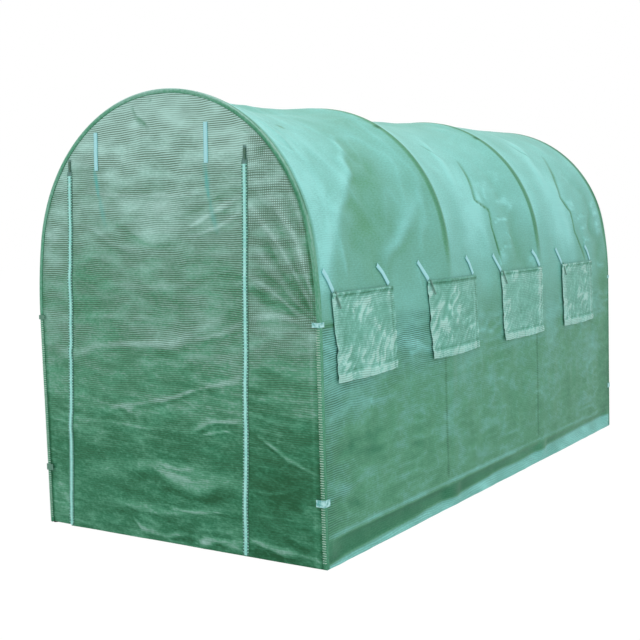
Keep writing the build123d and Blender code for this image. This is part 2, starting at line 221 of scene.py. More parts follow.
# Folds of the cover on each wall: points as (y, length from the crown), half width,
# how far they stand out and how much painted highlight they get (painted shade when negative)
BEAM_FOLDS = (
    (((-1.00, 0.50), (-1.24, 0.76), (-1.50, 1.02), (-1.72, 1.26)), 0.050, 0.008, 0.26),
    (((-0.70, 0.88), (-0.92, 1.05), (-1.16, 1.24)), 0.045, 0.006, 0.24),
    (((-1.58, 0.46), (-1.57, 0.56), (-1.56, 0.70)), 0.020, 0.003, -0.10),
    (((-1.72, 0.60), (-1.64, 0.66), (-1.55, 0.68)), 0.016, 0.003, 0.14),
    (((-0.66, 0.80), (-0.72, 1.00), (-0.80, 1.20)), 0.030, 0.003, 0.10),
    (((-1.50, 1.08), (-1.49, 1.26)), 0.020, 0.003, 0.14),
    (((-0.98, 0.50), (-1.14, 0.80), (-1.30, 1.25)), 0.120, -0.006, -0.16),
    (((-0.86, 1.22), (-0.83, 1.34)), 0.018, 0.003, 0.10),
    (((-0.06, 0.40), (-0.16, 0.60), (-0.24, 0.86)), 0.050, 0.005, 0.14),
    (((-0.02, 0.80), (-0.09, 1.00), (-0.05, 1.25)), 0.085, 0.005, 0.14),
    (((0.24, 0.75), (0.30, 1.05), (0.38, 1.35)), 0.075, -0.005, -0.14),
    (((1.12, 0.40), (1.02, 0.60), (0.94, 0.86)), 0.050, 0.005, 0.14),
    (((1.12, 0.80), (1.07, 1.00), (1.12, 1.25)), 0.085, 0.005, 0.14),
    (((1.44, 0.75), (1.50, 1.05), (1.58, 1.35)), 0.075, -0.005, -0.14),
)
CREASES = (
    (((0.06, 0.65), (0.00, 0.80), (-0.05, 0.92), (0.07, 0.98), (0.05, 1.08), (0.10, 1.28)),
     0.009, -0.003, -0.75),
    (((-0.22, 0.50), (-0.18, 0.57), (-0.13, 0.63)), 0.007, -0.002, -0.36),
    (((0.08, 1.06), (0.16, 1.03), (0.28, 1.03)), 0.008, 0.003, 0.30),
    (((0.11, 1.22), (0.18, 1.18), (0.26, 1.19)), 0.008, 0.003, 0.26),
    (((0.20, 1.10), (0.26, 1.14), (0.30, 1.12)), 0.007, 0.003, 0.20),
    (((1.32, 0.58), (1.17, 0.79), (1.11, 0.91), (1.21, 1.01), (1.20, 1.13), (1.32, 1.30)),
     0.009, -0.003, -0.75),
    (((0.98, 0.48), (1.02, 0.55), (1.07, 0.61)), 0.007, -0.002, -0.36),
    (((1.28, 1.06), (1.36, 1.03), (1.48, 1.03)), 0.008, 0.003, 0.30),
    (((1.31, 1.22), (1.38, 1.18), (1.46, 1.19)), 0.008, 0.003, 0.26),
    (((-1.66, 1.43), (-1.58, 1.46), (-1.50, 1.50)), 0.007, 0.003, 0.22),
    (((-1.60, 1.40), (-1.54, 1.47)), 0.006, 0.003, 0.24),
    (((-1.30, 1.77), (-1.36, 1.84)), 0.006, 0.002, 0.18),
    (((-0.40, 1.76), (-0.30, 1.78)), 0.010, 0.003, 0.14),
    (((-1.72, 2.10), (-1.50, 2.13), (-1.30, 2.10)), 0.030, 0.004, 0.14),
    (((-1.70, 2.02), (-1.55, 2.00), (-1.25, 2.02)), 0.030, -0.004, -0.16),
    (((-1.70, 2.20), (-1.45, 2.24)), 0.024, -0.003, -0.14),
    (((-1.05, 2.07), (-0.80, 2.10), (-0.60, 2.12)), 0.026, -0.003, -0.13),
    (((-1.12, 1.60), (-1.02, 1.57), (-0.90, 1.60), (-0.80, 1.64)), 0.014, 0.004, 0.30),
    (((-1.00, 1.66), (-0.88, 1.63), (-0.76, 1.66)), 0.009, 0.003, 0.24),
    (((-0.22, 1.60), (-0.10, 1.62), (0.02, 1.59)), 0.012, 0.003, 0.22),
    (((-1.70, 1.93), (-1.45, 1.96), (-1.18, 1.94)), 0.040, -0.004, -0.16),
    (((-1.68, 1.82), (-1.40, 1.80), (-1.05, 1.84)), 0.018, 0.003, 0.14),
    (((-1.70, 1.58), (-1.60, 1.55), (-1.50, 1.57)), 0.014, 0.003, 0.18),
)
KNOTS = ((-1.60, 0.42), (-1.56, 0.95), (-1.40, 0.10), (-0.66, 0.30), (0.49, 0.35))


def cover_folds(arc, y):
    """How far the folds of the cover stand out, and the painted highlights and shade on them."""
    run = np.abs(arc)
    lift = np.zeros(np.shape(run))
    tone = np.zeros(np.shape(run))
    for number, (points, width, height, light) in enumerate(BEAM_FOLDS + CREASES):
        crest, shadow = fold_line(y, run, points, width, 200 + 5 * number)
        lift += crest * height
        # Painted highlight on each fold's crest, and painted shadow under it
        tone += crest * light - 0.35 * shadow * abs(light)
    for number, (knot_y, knot_run) in enumerate(KNOTS):
        away = np.hypot(y - knot_y, run - knot_run)
        turn = np.arctan2(run - knot_run, y - knot_y)
        reach = bell(away, 0, 0.26) * soft_step(away, 0.0, 0.07)
        wave = np.sin(turn * 7 + 5 * smooth_noise(away * 4, turn * 1.3, number))
        wave = wave * soft_step(smooth_noise(turn * 1.6, away * 3, number + 7), -0.5, 0.4)
        lift += reach * wave * 0.0018
        # Painted highlight on the crests of the puckers round each knot
        tone += reach * np.maximum(wave, -0.3) * 0.06
    lift += 0.0022 * smooth_noise(y * 7, run * 5, 11) + 0.0012 * smooth_noise(y * 17, run * 13, 12)
    patches = 0.04 * smooth_noise(y * 3, run * 2.4, 13) + 0.03 * smooth_noise(y * 8, run * 6, 14)
    on_wall = soft_step(run, EAVE_ARC, EAVE_ARC + 0.12)
    mottle = 0.03 * smooth_noise(y * 3, run * 9, 15) + 0.04 * smooth_noise(y * 8, run * 26, 16)
    fine = ridges(y * 4 + run * 2, run * 17, 17) * soft_step(smooth_noise(y * 3, run * 4, 18), -0.3, 0.4)
    short = ridges(y * 11, run * 46, 19)
    lift += on_wall * (fine * 0.0014 + short * 0.0006)
    # Random patches and mottling; on the walls, painted highlights on the fine crinkles, a little darker
    # overall
    tone += patches + on_wall * (mottle + 0.15 * fine + 0.11 * short - 0.05)
    creased = 0.0
    for start in HOOPS[1:3]:
        within = soft_step(y, start + 0.56, start + 0.66) * soft_fall(y, start + 1.05, start + 1.12)
        creased = creased + within * soft_step(run, 0.62, 0.95) * soft_fall(run, 1.36, 1.44)
    bent = ridges(y * 5 + 0.8 * run, run * 15 + 2 * y, 20)
    bent = bent * soft_step(smooth_noise(y * 8, run * 7, 25), -0.1, 0.3)
    lift += creased * bent * 0.0022
    # Painted highlights on the bent creases of the walls
    tone += creased * (0.26 * bent - 0.03)
    radial = ridges(y * 5 + run * 2, run * 2 - y * 3, 23) * (y < HOOPS[1]) * soft_fall(run, 0.9, 1.3)
    lift += 0.0015 * radial
    # Painted highlights on the radial creases of the first bay
    tone += 0.10 * radial
    return lift, tone


SAG_PLACES = (0.0, 0.06, 0.15, 0.45, 0.85, 1.25, 1.45, 1.90, 2.28, FOOT_ARC)
SAG_DEPTHS = (0.026, 0.032, 0.050, 0.052, 0.044, 0.028, 0.018, 0.013, 0.001, 0.0)
BAY_SAGS = (1.25, 1.00, 0.22)
HOOP_REST = 0.010
SKIRT_TUCK = 0.018
FLARE_FRONT = 0.020
FLARE_REAR = 0.080


def from_hoops(y):
    """Distance from the nearest hoop."""
    gaps = [np.abs(y - hoop) for hoop in HOOPS]
    return np.minimum.reduce(gaps)


def hoop_span(y):
    """0 on a hoop and 1 in the middle between two hoops."""
    half_bay = (HOOPS[1] - HOOPS[0]) / 2
    away = np.maximum(from_hoops(y) - HOOP_REST, 0) / (half_bay - HOOP_REST)
    outside = (y < HOOPS[0]) | (y > HOOPS[-1])
    return np.where(outside, 0, np.clip(away * (2 - away), 0, 1))


def flare_height(y):
    """Height of the turned-out foot of the wall, which widens towards the rear."""
    share = (y - FRONT) / (REAR - FRONT)
    return FLARE_FRONT + (FLARE_REAR - FLARE_FRONT) * share + 0.006 * smooth_noise(y * 4, y * 0, 22)


def cover_relief(arc, y):
    """How far the cover stands out from the hoops, or hangs in between them."""
    run = np.abs(arc)
    span = hoop_span(y)
    lift, _ = cover_folds(arc, y)
    bay = np.clip(np.searchsorted(HOOPS[1:-1], np.ravel(y)), 0, len(BAY_SAGS) - 1)
    depth = np.array(BAY_SAGS)[bay].reshape(np.shape(y))
    on_purlin = soft_fall(run, 0.02, 0.10)
    depth = depth * (1 - on_purlin) + np.minimum(depth, 1) * on_purlin
    relief = -np.interp(run, SAG_PLACES, SAG_DEPTHS) * span * depth
    relief += lift * soft_step(from_hoops(y), 0.004, 0.06) * soft_fall(run, 2.15, 2.30)
    height = FOOT_ARC - run
    tucked = soft_step(RAIL_HEIGHT - 0.012 - height, 0, 0.03) * soft_step(height, 0, 0.05)
    relief -= SKIRT_TUCK * tucked * soft_step(span, 0.0, 0.35)
    pucker = 0.002 * smooth_noise(y * 14, height * 9, 21)
    relief += pucker * soft_fall(height, 0.10, 0.16)
    return relief


def cover_points(arc, y, lift=0.0):
    """Points on the cover, or a lift away from it."""
    x, z, out_x, out_z = arch_place(arc)
    stand = cover_relief(arc, y) + lift
    return np.stack([x + out_x * stand, y + 0 * x, np.maximum(z + out_z * stand, 0)], axis=-1)


# Painted light along the arch: the cover's lightness by length from the crown, bright over the shoulder,
# painted shade towards the foot
COVER_TONE_PLACES = (0.0, 0.30, 0.55, 0.80, 1.05, 1.38, 1.50, 1.80, 2.10, 2.28)
COVER_TONES = (0.68, 0.73, 0.78, 0.76, 0.72, 0.67, 0.55, 0.46, 0.41, 0.40)
SEAM_STITCHES = (-0.645, 0.505)
ROOF_KNOTS = (HOOPS[1], HOOPS[2], -1.367)
BAY_REACH = 1.149
# Lightness of the painted shadow of the hoop tubes seen through the cloth
HOOP_SHADOW_TONE = 0.30


def cover_paint(arc, y):
    """Lightness and scrim of the cover: painted light, bright over the shoulder, with painted shade
    darker to the foot.
    """
    run = np.abs(arc)
    height = FOOT_ARC - run
    _, fold_tone = cover_folds(arc, y)
    # Painted lightness along the arch, plus the fold tones with their painted highlights and shade
    tone = np.interp(run, COVER_TONE_PLACES, COVER_TONES) + fold_tone
    # Painted light and shade over the first bay: lighter near the front and before the line of the light
    # beam, painted shade beyond it and at the crown
    first_bay = y < HOOPS[1]
    beyond_beam = y + 1.00 + 0.96 * (run - 0.52)
    on_roof = soft_fall(run, 1.30, 1.42)
    tone += 0.06 * first_bay * on_roof * soft_fall(beyond_beam, -0.10, 0.10)
    tone += 0.11 * soft_fall(y, -1.62, -1.42) * soft_step(run, 0.30, 0.60) * on_roof
    tone -= 0.06 * first_bay * soft_step(y, -1.45, -1.15) * soft_fall(run, 0.30, 0.60)
    shaded = soft_step(beyond_beam, -0.06, 0.22) * soft_step(run, 0.42, 0.62)
    shaded = shaded * (1 - 0.75 * soft_step(y, -0.98, -0.72))
    tone -= 0.11 * first_bay * on_roof * shaded
    # Painted light round the inner hoops: a painted highlight just behind each, painted shade just
    # before it, and paler lit patches on the roof of the bay behind it
    for start in HOOPS[1:3]:
        behind_hoop = np.maximum(y - start, 0)
        before_hoop = np.maximum(start - y, 0)
        on_shoulder = soft_step(run, 0.05, 0.30) * soft_fall(run, 1.00, 1.30)
        tone += 0.24 * np.exp(-behind_hoop / 0.09) * (y > start) * on_shoulder
        tone -= 0.10 * np.exp(-before_hoop / 0.04) * (y <= start) * on_shoulder
        near_hoop = soft_fall(y, start + 0.16, start + 0.40) * (y > start)
        pale = bell(y - start, 0.42, 0.17) * bell(run, 0.98, 0.30)
        squiggle = np.interp(run, (0.60, 0.80, 0.92, 0.98, 1.28), (0.67, 0.58, 0.53, 0.65, 0.68))
        deep = soft_step(y, start + squiggle - 0.01, start + squiggle + 0.03) * (y < start + BAY_REACH)
        tone += (0.02 * near_hoop + 0.21 * pale) * on_roof
        tone += 0.01 * deep * soft_step(run, 0.45, 0.70) * on_roof
        tone += 0.07 * on_shoulder * (y > start) * (y < start + BAY_REACH) * (1 - near_hoop)
    # Painted light and shade on the walls: lighter near the front, between windows 1 and 2 and between
    # windows 3 and 4, darker towards the rear end and in a line at y 0.98
    on_wall = soft_step(run, EAVE_ARC, EAVE_ARC + 0.1)
    tone += 0.10 * soft_fall(y, -1.50, -1.10) * on_wall * soft_step(height, 0.4, 0.7)
    behind = bell(y, 0.72, 0.12) * bell(height, 0.80, 0.13)
    tone += 0.20 * behind
    tone -= 0.16 * soft_step(y, 1.42, 1.66) * soft_step(run, 1.20, 1.42)
    between = bell(y, -0.955, 0.10) * bell(height, 0.90, 0.13)
    tone += 0.17 * between + 0.04 * soft_step(y, -0.9, -0.5) * on_wall
    tone -= 0.05 * bell(y, 0.98, 0.07) * soft_step(run, EAVE_ARC + 0.2, EAVE_ARC + 0.4)
    # Painted shadow of each hoop tube seen through the cloth, fading down the wall, and painted shade
    # along the front edge under the rolled edge
    stripe = soft_fall(from_hoops(y), HOOP_STRIPE * 0.8, HOOP_STRIPE * 1.2)
    fade = soft_fall(run, 1.06, 1.36)
    edge_stripe = soft_fall(y, FRONT + 0.022, FRONT + 0.034) * 0.6 * fade
    stripe = np.where(y < HOOPS[0] + 0.1, edge_stripe, stripe * fade)
    tone = tone * (1 - stripe) + HOOP_SHADOW_TONE * stripe
    # Painted shadows of the small ties on the roof, seen through the cloth
    for knot_y in ROOF_KNOTS:
        knot = bell(y - knot_y, -0.02, 0.020) * bell(run, 0.44, 0.012)
        tone -= 0.60 * knot
    # Painted shadow of the purlin, seen through the wall near the front
    purlin = bell(run - EAVE_ARC - 0.005, 0.05 * (y + 1.7), 0.010)
    tone -= 0.34 * purlin * soft_fall(y, -1.62, -1.46)
    # Painted light at the foot: the turned-out foot lit bright, the cloth tucked in under the rail in
    # painted shade, and a painted highlight along the rail
    near_foot = soft_fall(height, RAIL_HEIGHT - 0.030, RAIL_HEIGHT - 0.008)
    flare = flare_height(y)
    flared = 0.90 + 0.12 * smooth_noise(y * 9, height * 20, 31)
    tucked = 0.18 + 0.08 * smooth_noise(y * 4, height * 30, 32) + 0.17 * soft_step(y, -0.4, 0.8)
    foot_tone = flared + (tucked - flared) * soft_step(height, flare - 0.010, flare + 0.012)
    tone = tone * (1 - near_foot) + foot_tone * near_foot
    tone += 0.26 * bell(height - RAIL_HEIGHT, -0.002, 0.007) * (1 - 0.6 * soft_step(y, -0.2, 0.9))
    # Painted light on the wall below the eave, beside the front corner and near the front windows
    below_eave = soft_step(run, EAVE_ARC - 0.02, EAVE_ARC + 0.03)
    near_windows = bell(height, 0.86, 0.15) * soft_fall(y, -0.75, -0.45)
    beside_corner = bell(y, FRONT, 0.20) * soft_step(height, 0.08, 0.20)
    tone += 0.07 * beside_corner * below_eave + 0.10 * near_windows * below_eave
    scrim = 0.14 + below_eave * (0.22 + 0.75 * near_windows + 0.75 * beside_corner)
    for seam in SEAM_STITCHES:
        tone -= 0.10 * bell(y, seam, 0.007) * below_eave * soft_step(height, 0.14, 0.18)
        dots = bell(y, seam, 0.007) * soft_step(run, EAVE_ARC + 0.20, EAVE_ARC + 0.26)
        scrim = scrim + 1.2 * dots * soft_step(height, 0.14, 0.18)
    return {"tone": tone, "scrim": np.minimum(scrim, 1), "cross": 0.08 + 0 * tone, "streak": 0 * tone}


# Folds of the front: points as (x, z), half width, how far they stand out, how much painted highlight
# (painted shade when negative)
FRONT_FOLDS = (
    (((-0.68, 0.84), (-0.40, 0.86), (0.06, 0.90), (0.32, 1.04)), 0.024, 0.006, 0.22),
    (((0.12, 0.93), (0.28, 0.95), (0.42, 0.99)), 0.014, 0.005, 0.22),
    (((0.45, 1.03), (0.60, 1.03), (0.77, 1.00)), 0.018, 0.006, 0.26),
    (((-0.36, 0.59), (-0.03, 0.65), (0.38, 0.76)), 0.012, 0.006, 0.34),
    (((0.18, 0.73), (0.38, 0.74)), 0.012, 0.003, 0.16),
    (((0.11, 0.53), (0.20, 0.565), (0.29, 0.58), (0.40, 0.58)), 0.011, 0.006, 0.40),
    (((0.16, 0.51), (0.40, 0.54)), 0.006, 0.003, 0.30),
    (((-0.50, 0.53), (-0.20, 0.52), (0.16, 0.51)), 0.008, 0.002, 0.14),
    (((-0.30, 0.60), (-0.20, 0.57)), 0.014, 0.003, 0.20),
    (((0.48, 0.52), (0.62, 0.44), (0.76, 0.39)), 0.013, 0.007, 0.38),
    (((0.44, 0.50), (0.77, 0.49)), 0.006, 0.002, 0.16),
    (((-0.53, 0.30), (-0.10, 0.33), (0.10, 0.30), (0.37, 0.29)), 0.036, 0.006, 0.26),
    (((-0.10, 0.36), (0.02, 0.34), (0.12, 0.345)), 0.010, 0.004, 0.26),
    (((-0.30, 0.22), (0.00, 0.23), (0.30, 0.235)), 0.030, -0.004, -0.16),
    (((-0.56, 0.15), (-0.30, 0.16), (-0.04, 0.14), (0.33, 0.19)), 0.024, 0.005, 0.20),
    (((-0.04, 0.15), (0.10, 0.155), (0.22, 0.17), (0.36, 0.165)), 0.008, 0.004, 0.26),
    (((-0.26, 0.09), (-0.20, 0.05), (-0.05, 0.03), (0.06, 0.05)), 0.012, 0.004, 0.30),
    (((0.14, 0.03), (0.28, 0.035), (0.37, 0.02)), 0.026, 0.007, 0.46),
    (((0.07, 0.065), (0.20, 0.055), (0.38, 0.075)), 0.010, -0.003, -0.18),
    (((0.43, 0.30), (0.52, 0.29), (0.62, 0.31)), 0.012, 0.004, 0.24),
    (((0.42, 0.19), (0.58, 0.185), (0.75, 0.19)), 0.007, 0.003, 0.20),
    (((0.41, 0.08), (0.58, 0.05), (0.79, 0.025)), 0.014, 0.006, 0.34),
    (((0.42, 0.13), (0.60, 0.10), (0.76, 0.065)), 0.012, -0.004, -0.18),
    (((0.43, 0.03), (0.60, 0.01)), 0.010, -0.004, -0.20),
    (((0.50, 0.24), (0.70, 0.25)), 0.016, -0.003, -0.12),
    (((-0.53, 1.57), (-0.30, 1.56), (0.03, 1.55), (0.45, 1.58)), 0.014, 0.003, 0.16),
    (((-0.50, 1.62), (-0.10, 1.60), (0.30, 1.62)), 0.030, -0.003, -0.10),
    (((0.12, 1.40), (0.27, 1.45), (0.42, 1.52)), 0.011, 0.006, 0.34),
    (((0.15, 1.35), (0.29, 1.39), (0.42, 1.45)), 0.010, 0.006, 0.30),
    (((0.06, 1.44), (0.24, 1.49), (0.42, 1.56)), 0.014, -0.004, -0.18),
    (((-0.30, 1.46), (-0.20, 1.39), (-0.08, 1.325), (0.10, 1.33)), 0.014, -0.003, -0.16),
    (((0.575, 1.525), (0.680, 1.360), (0.735, 1.220), (0.785, 1.050)), 0.012, 0.005, 0.26),
    (((0.485, 1.548), (0.600, 1.430), (0.690, 1.260), (0.776, 1.035)), 0.022, -0.006, -0.22),
    (((0.480, 1.470), (0.590, 1.350), (0.690, 1.190), (0.774, 1.030)), 0.016, 0.006, 0.22),
    (((0.479, 1.406), (0.580, 1.290), (0.690, 1.140), (0.770, 1.028)), 0.020, -0.006, -0.20),
    (((0.476, 1.330), (0.580, 1.220), (0.680, 1.110), (0.768, 1.026)), 0.015, 0.006, 0.20),
    (((0.472, 1.254), (0.590, 1.160), (0.700, 1.070), (0.766, 1.022)), 0.017, -0.005, -0.20),
    (((0.470, 1.200), (0.590, 1.110), (0.700, 1.045), (0.766, 1.018)), 0.012, 0.006, 0.26),
    (((0.468, 1.150), (0.580, 1.085), (0.704, 1.030), (0.764, 1.010)), 0.012, -0.005, -0.26),
    (((0.620, 1.560), (0.700, 1.440), (0.760, 1.260), (0.792, 1.080)), 0.014, -0.004, -0.20),
    (((-0.54, 1.46), (-0.40, 1.38), (-0.26, 1.32), (0.02, 1.30)), 0.022, 0.004, 0.14),
    (((-0.59, 1.00), (-0.30, 1.01), (0.00, 1.01)), 0.012, 0.003, 0.10),
    (((-0.45, 1.16), (-0.10, 1.14), (0.25, 1.17)), 0.020, 0.002, 0.08),
    (((-0.16, 1.95), (-0.133, 1.90), (-0.10, 1.87), (-0.07, 1.84)), 0.012, -0.005, -0.66),
    (((-0.10, 1.93), (-0.06, 1.90)), 0.020, 0.003, 0.16),
    (((-0.07, 1.93), (-0.02, 1.90), (0.01, 1.84)), 0.010, 0.003, 0.16),
    (((-0.05, 1.975), (-0.035, 1.945)), 0.008, -0.003, -0.40),
    (((0.45, 1.78), (0.48, 1.79), (0.50, 1.83)), 0.008, -0.003, -0.40),
    (((0.50, 1.705), (0.55, 1.715), (0.60, 1.74)), 0.008, -0.003, -0.44),
    (((0.56, 1.66), (0.66, 1.65)), 0.006, -0.002, -0.30),
    (((0.70, 1.60), (0.73, 1.58), (0.77, 1.575)), 0.007, -0.003, -0.44),
    (((-0.78, 0.80), (-0.66, 0.81)), 0.022, 0.003, 0.14),
    (((-0.76, 0.52), (-0.66, 0.51)), 0.007, 0.002, 0.20),
    (((-0.77, 1.42), (-0.68, 1.40)), 0.034, 0.002, 0.16),
)
# Extra strength of the painted highlight on the brighter folds of the front
FOLD_GLEAM = 1.3
PLEAT_FOOT = (0.82, 0.985)
STRAP_STREAKS = (
    ((-0.398, 1.69), (-0.385, 1.58), (-0.345, 1.42)),
    ((0.246, 1.67), (0.256, 1.56), (0.292, 1.38)),
)


def zip_x(line, z):
    """Where a zip runs at a height."""
    (top_x, top_z), (foot_x, foot_z) = line
    return foot_x + (top_x - foot_x) * (z - foot_z) / (top_z - foot_z)


def left_zip(z):
    """Where the left zip runs at a height."""
    return zip_x(ZIP_LEFT, z)


def right_zip(z):
    """Where the right zip runs at a height."""
    return zip_x(ZIP_RIGHT, z)


def end_folds(x, z):
    """How far the folds of the front stand out, and the painted highlights and shade on them."""
    lift = np.zeros(np.shape(x))
    tone = np.zeros(np.shape(x))
    for number, (points, width, height, light) in enumerate(FRONT_FOLDS):
        crest, shadow = fold_line(x, z, points, width, 400 + 5 * number)
        lift += crest * height
        # Painted highlight on each fold's crest, stronger on the brighter folds, and painted shadow
        # under it
        gleam = FOLD_GLEAM if light > 0.2 else 1.0
        tone += crest * light * gleam - 0.45 * shadow * abs(light)
    away = np.hypot(x - PLEAT_FOOT[0], z - PLEAT_FOOT[1])
    turn = np.arctan2(z - PLEAT_FOOT[1], PLEAT_FOOT[0] - x)
    drift = 0.10 * smooth_noise(away * 5, turn * 3, 46)
    pleats = np.sin((turn + drift) * 13 - 0.9 + 1.4 * away)
    narrow = np.sin((turn + drift) * 27 + 0.6)
    on_strip = soft_step(x, right_zip(z) - 0.02, right_zip(z) + 0.04)
    reach = on_strip * soft_step(turn, 0.02, 0.14) * soft_fall(turn, 1.10, 1.35)
    reach = reach * soft_fall(away, 0.45, 0.88) * soft_step(away, 0.0, 0.08)
    lift += reach * (pleats * 0.002 + narrow * 0.0012)
    # Painted highlights on the pleats that fan out from the clip
    tone += reach * (pleats * 0.04 + narrow * 0.05)
    slant = z + 0.09 * x + 0.02 * smooth_noise(x * 3, z * 3, 47)
    lift += 0.0030 * smooth_noise(x * 1.6, slant * 9, 41) + 0.0016 * smooth_noise(x * 4, slant * 22, 42)
    tone += 0.05 * smooth_noise(x * 1.8, slant * 10, 43) + 0.06 * smooth_noise(x * 6, slant * 34, 44)
    rough = soft_step(smooth_noise(x * 2.2, slant * 4, 48), -0.35, 0.45)
    low = 0.5 + 0.5 * soft_fall(z, 0.45, 1.1)
    streaks = ridges(x * 3.2, slant * 21, 49)
    short = ridges(x * 9 + z * 4, slant * 38, 50)
    lift += rough * low * (0.0018 * streaks + 0.0009 * short)
    fine = ridges(x * 14 - z * 5, slant * 62, 51)
    # Painted highlights on the fine crinkles, strongest low on the front, which is a little darker
    # overall
    tone += rough * low * (0.16 * streaks + 0.14 * short) + 0.14 * low * fine - 0.09 * low
    return lift, tone


def edge_fade(x, z):
    """0 at the outline of the end and 1 well inside it."""
    return soft_step(half_width_at(z) - np.abs(x), 0.020, 0.075)


def front_points(x, z, lift=0.0):
    """Points on the front cloth, or a lift in front of it."""
    relief, _ = end_folds(x, z)
    inward = 0.35 * np.minimum(relief, 0)
    stand = (np.maximum(relief, 0) + inward) * edge_fade(x, z) + lift
    return np.stack([x, FRONT - stand, z + 0 * x], axis=-1)


# Painted light down the end panels: lightness by height, light at the top, painted shade towards the
# foot
FRONT_TONE_HEIGHTS = (0.0, 0.10, 0.30, 0.42, 0.55, 0.80, 1.00, 1.20, 1.40, 1.56, 1.75, 2.00)
FRONT_TONES = (0.22, 0.23, 0.27, 0.25, 0.31, 0.44, 0.54, 0.55, 0.73, 0.79, 0.98, 1.24)
RIGHT_STRIP_HEIGHTS = (0.0, 0.3, 0.5, 0.8, 0.95, 1.1, 1.5)
RIGHT_STRIP_SHIFTS = (-0.05, -0.09, -0.09, -0.04, 0.08, 0.10, 0.06)
LEFT_STRIP_HEIGHTS = (0.0, 0.5, 1.2, 1.5)
LEFT_STRIP_SHIFTS = (0.02, 0.04, 0.06, 0.10)


def leaf_blot(x, z, centre, size):
    """A flat-topped pale blot, 1 inside its ellipse and 0 outside."""
    return np.exp(-((((x - centre[0]) / size[0]) ** 2 + ((z - centre[1]) / size[1]) ** 2) ** 2))


def front_paint(x, z):
    """Lightness and scrim of the front: painted light, greyish mint above, and painted shade down to the
    deep green foot.
    """
    _, fold_tone = end_folds(x, z)
    tone = np.interp(z, FRONT_TONE_HEIGHTS, FRONT_TONES) + fold_tone
    # Painted pools of light on the door below its top
    ragged = 0.012 * smooth_noise(x * 14, z * 30, 24)
    upper_light_pool = leaf_blot(x, z + ragged, (-0.09, 1.50), (0.22, 0.052))
    lower_light_pool = leaf_blot(x, z + ragged, (-0.03, 1.42), (0.15, 0.060))
    light_pool = np.maximum(upper_light_pool, 0.8 * lower_light_pool)
    tone += 0.15 * light_pool
    # Painted shade on the left of the front at about 1.24 m, and on its upper left
    shaded = soft_step(-x, 0.20, 0.50) * bell(z, 1.24, 0.17) * soft_step(x, -0.66, -0.56)
    tone -= 0.10 * shaded
    left_side = soft_step(-x, 0.30, 0.75) * soft_step(z, 1.30, 1.60)
    tone -= 0.12 * left_side
    right = soft_step(x, right_zip(z), right_zip(z) + 0.02)
    left = soft_step(-x, -left_zip(z), 0.02 - left_zip(z))
    tone += right * np.interp(z, RIGHT_STRIP_HEIGHTS, RIGHT_STRIP_SHIFTS)
    tone += left * np.interp(z, LEFT_STRIP_HEIGHTS, LEFT_STRIP_SHIFTS)
    # Painted shadow in a line just inside the outline, under the rolled edge: full on the right above
    # the eave, half on the left
    edge_shadow = bell(half_width_at(z) - np.abs(x), 0.022, 0.006)
    tone -= 0.40 * edge_shadow * np.where(x > 0, soft_step(z, 1.0, 1.1), 0.5)
    # Below the clip, a painted shadow of the corner leg near the right edge, with a lighter line beside
    # it
    below_clip = soft_fall(z, 0.94, 0.99)
    tone += 0.12 * bell(HALF_WIDTH - x, 0.048, 0.010) * below_clip
    tone -= 0.06 * bell(HALF_WIDTH - x, 0.026, 0.008) * below_clip
    scrim = np.interp(z, (0.15, 0.45, 0.70, 0.95, 1.8, 1.95), (0.30, 0.50, 0.75, 0.95, 1.0, 0.85))
    # The net lines show less in the painted pools of light
    scrim = scrim - 0.35 * light_pool
    cross = right * np.interp(z, (0.8, 1.0, 1.6), (0.15, 0.75, 0.85)) + 0.10
    streak = np.zeros(np.shape(x))
    for points in STRAP_STREAKS:
        crest, _ = fold_line(x, z, points, 0.013, 61)
        below = np.interp(z, (points[-1][1], points[0][1]), (0.45, 1.0))
        streak = np.maximum(streak, crest * below * (z < points[0][1]))
    return {"tone": tone, "scrim": scrim, "cross": np.minimum(cross, 1), "streak": streak}


def rear_points(x, z, lift=0.0):
    """Points on the rear cloth, which has no door."""
    relief = 0.004 * smooth_noise(x * 1.5, z * 6, 61) + 0.002 * smooth_noise(x * 5, z * 13, 62)
    stand = np.maximum(relief, -0.0005) * edge_fade(x, z) + lift
    return np.stack([x, REAR + stand, z + 0 * x], axis=-1)


def rear_paint(x, z):
    """Lightness and scrim of the rear: the front's painted light and shade by height, with painted
    highlights where its relief stands out.
    """
    tone = np.interp(z, FRONT_TONE_HEIGHTS, FRONT_TONES)
    tone += 0.09 * smooth_noise(x * 1.5, z * 6, 61) + 0.06 * smooth_noise(x * 5, z * 13, 62)
    scrim = np.interp(z, (0.15, 0.55, 1.2), (0.10, 0.30, 0.80))
    return {"tone": tone, "scrim": scrim, "cross": 0.1 + 0 * x, "streak": 0 * x}


def pick(piece):
    """Deselect everything and make one piece the active one."""
    bpy.ops.object.select_all(action="DESELECT")
    piece.select_set(True)
    bpy.context.view_layer.objects.active = piece


def apply_modifiers(piece):
    """Apply all of a piece's modifiers to its mesh."""
    pick(piece)
    for modifier in list(piece.modifiers):
        bpy.ops.object.modifier_apply(modifier=modifier.name)


SHARP_ANGLE = radians(40)
MERGE_WITHIN = 0.00005


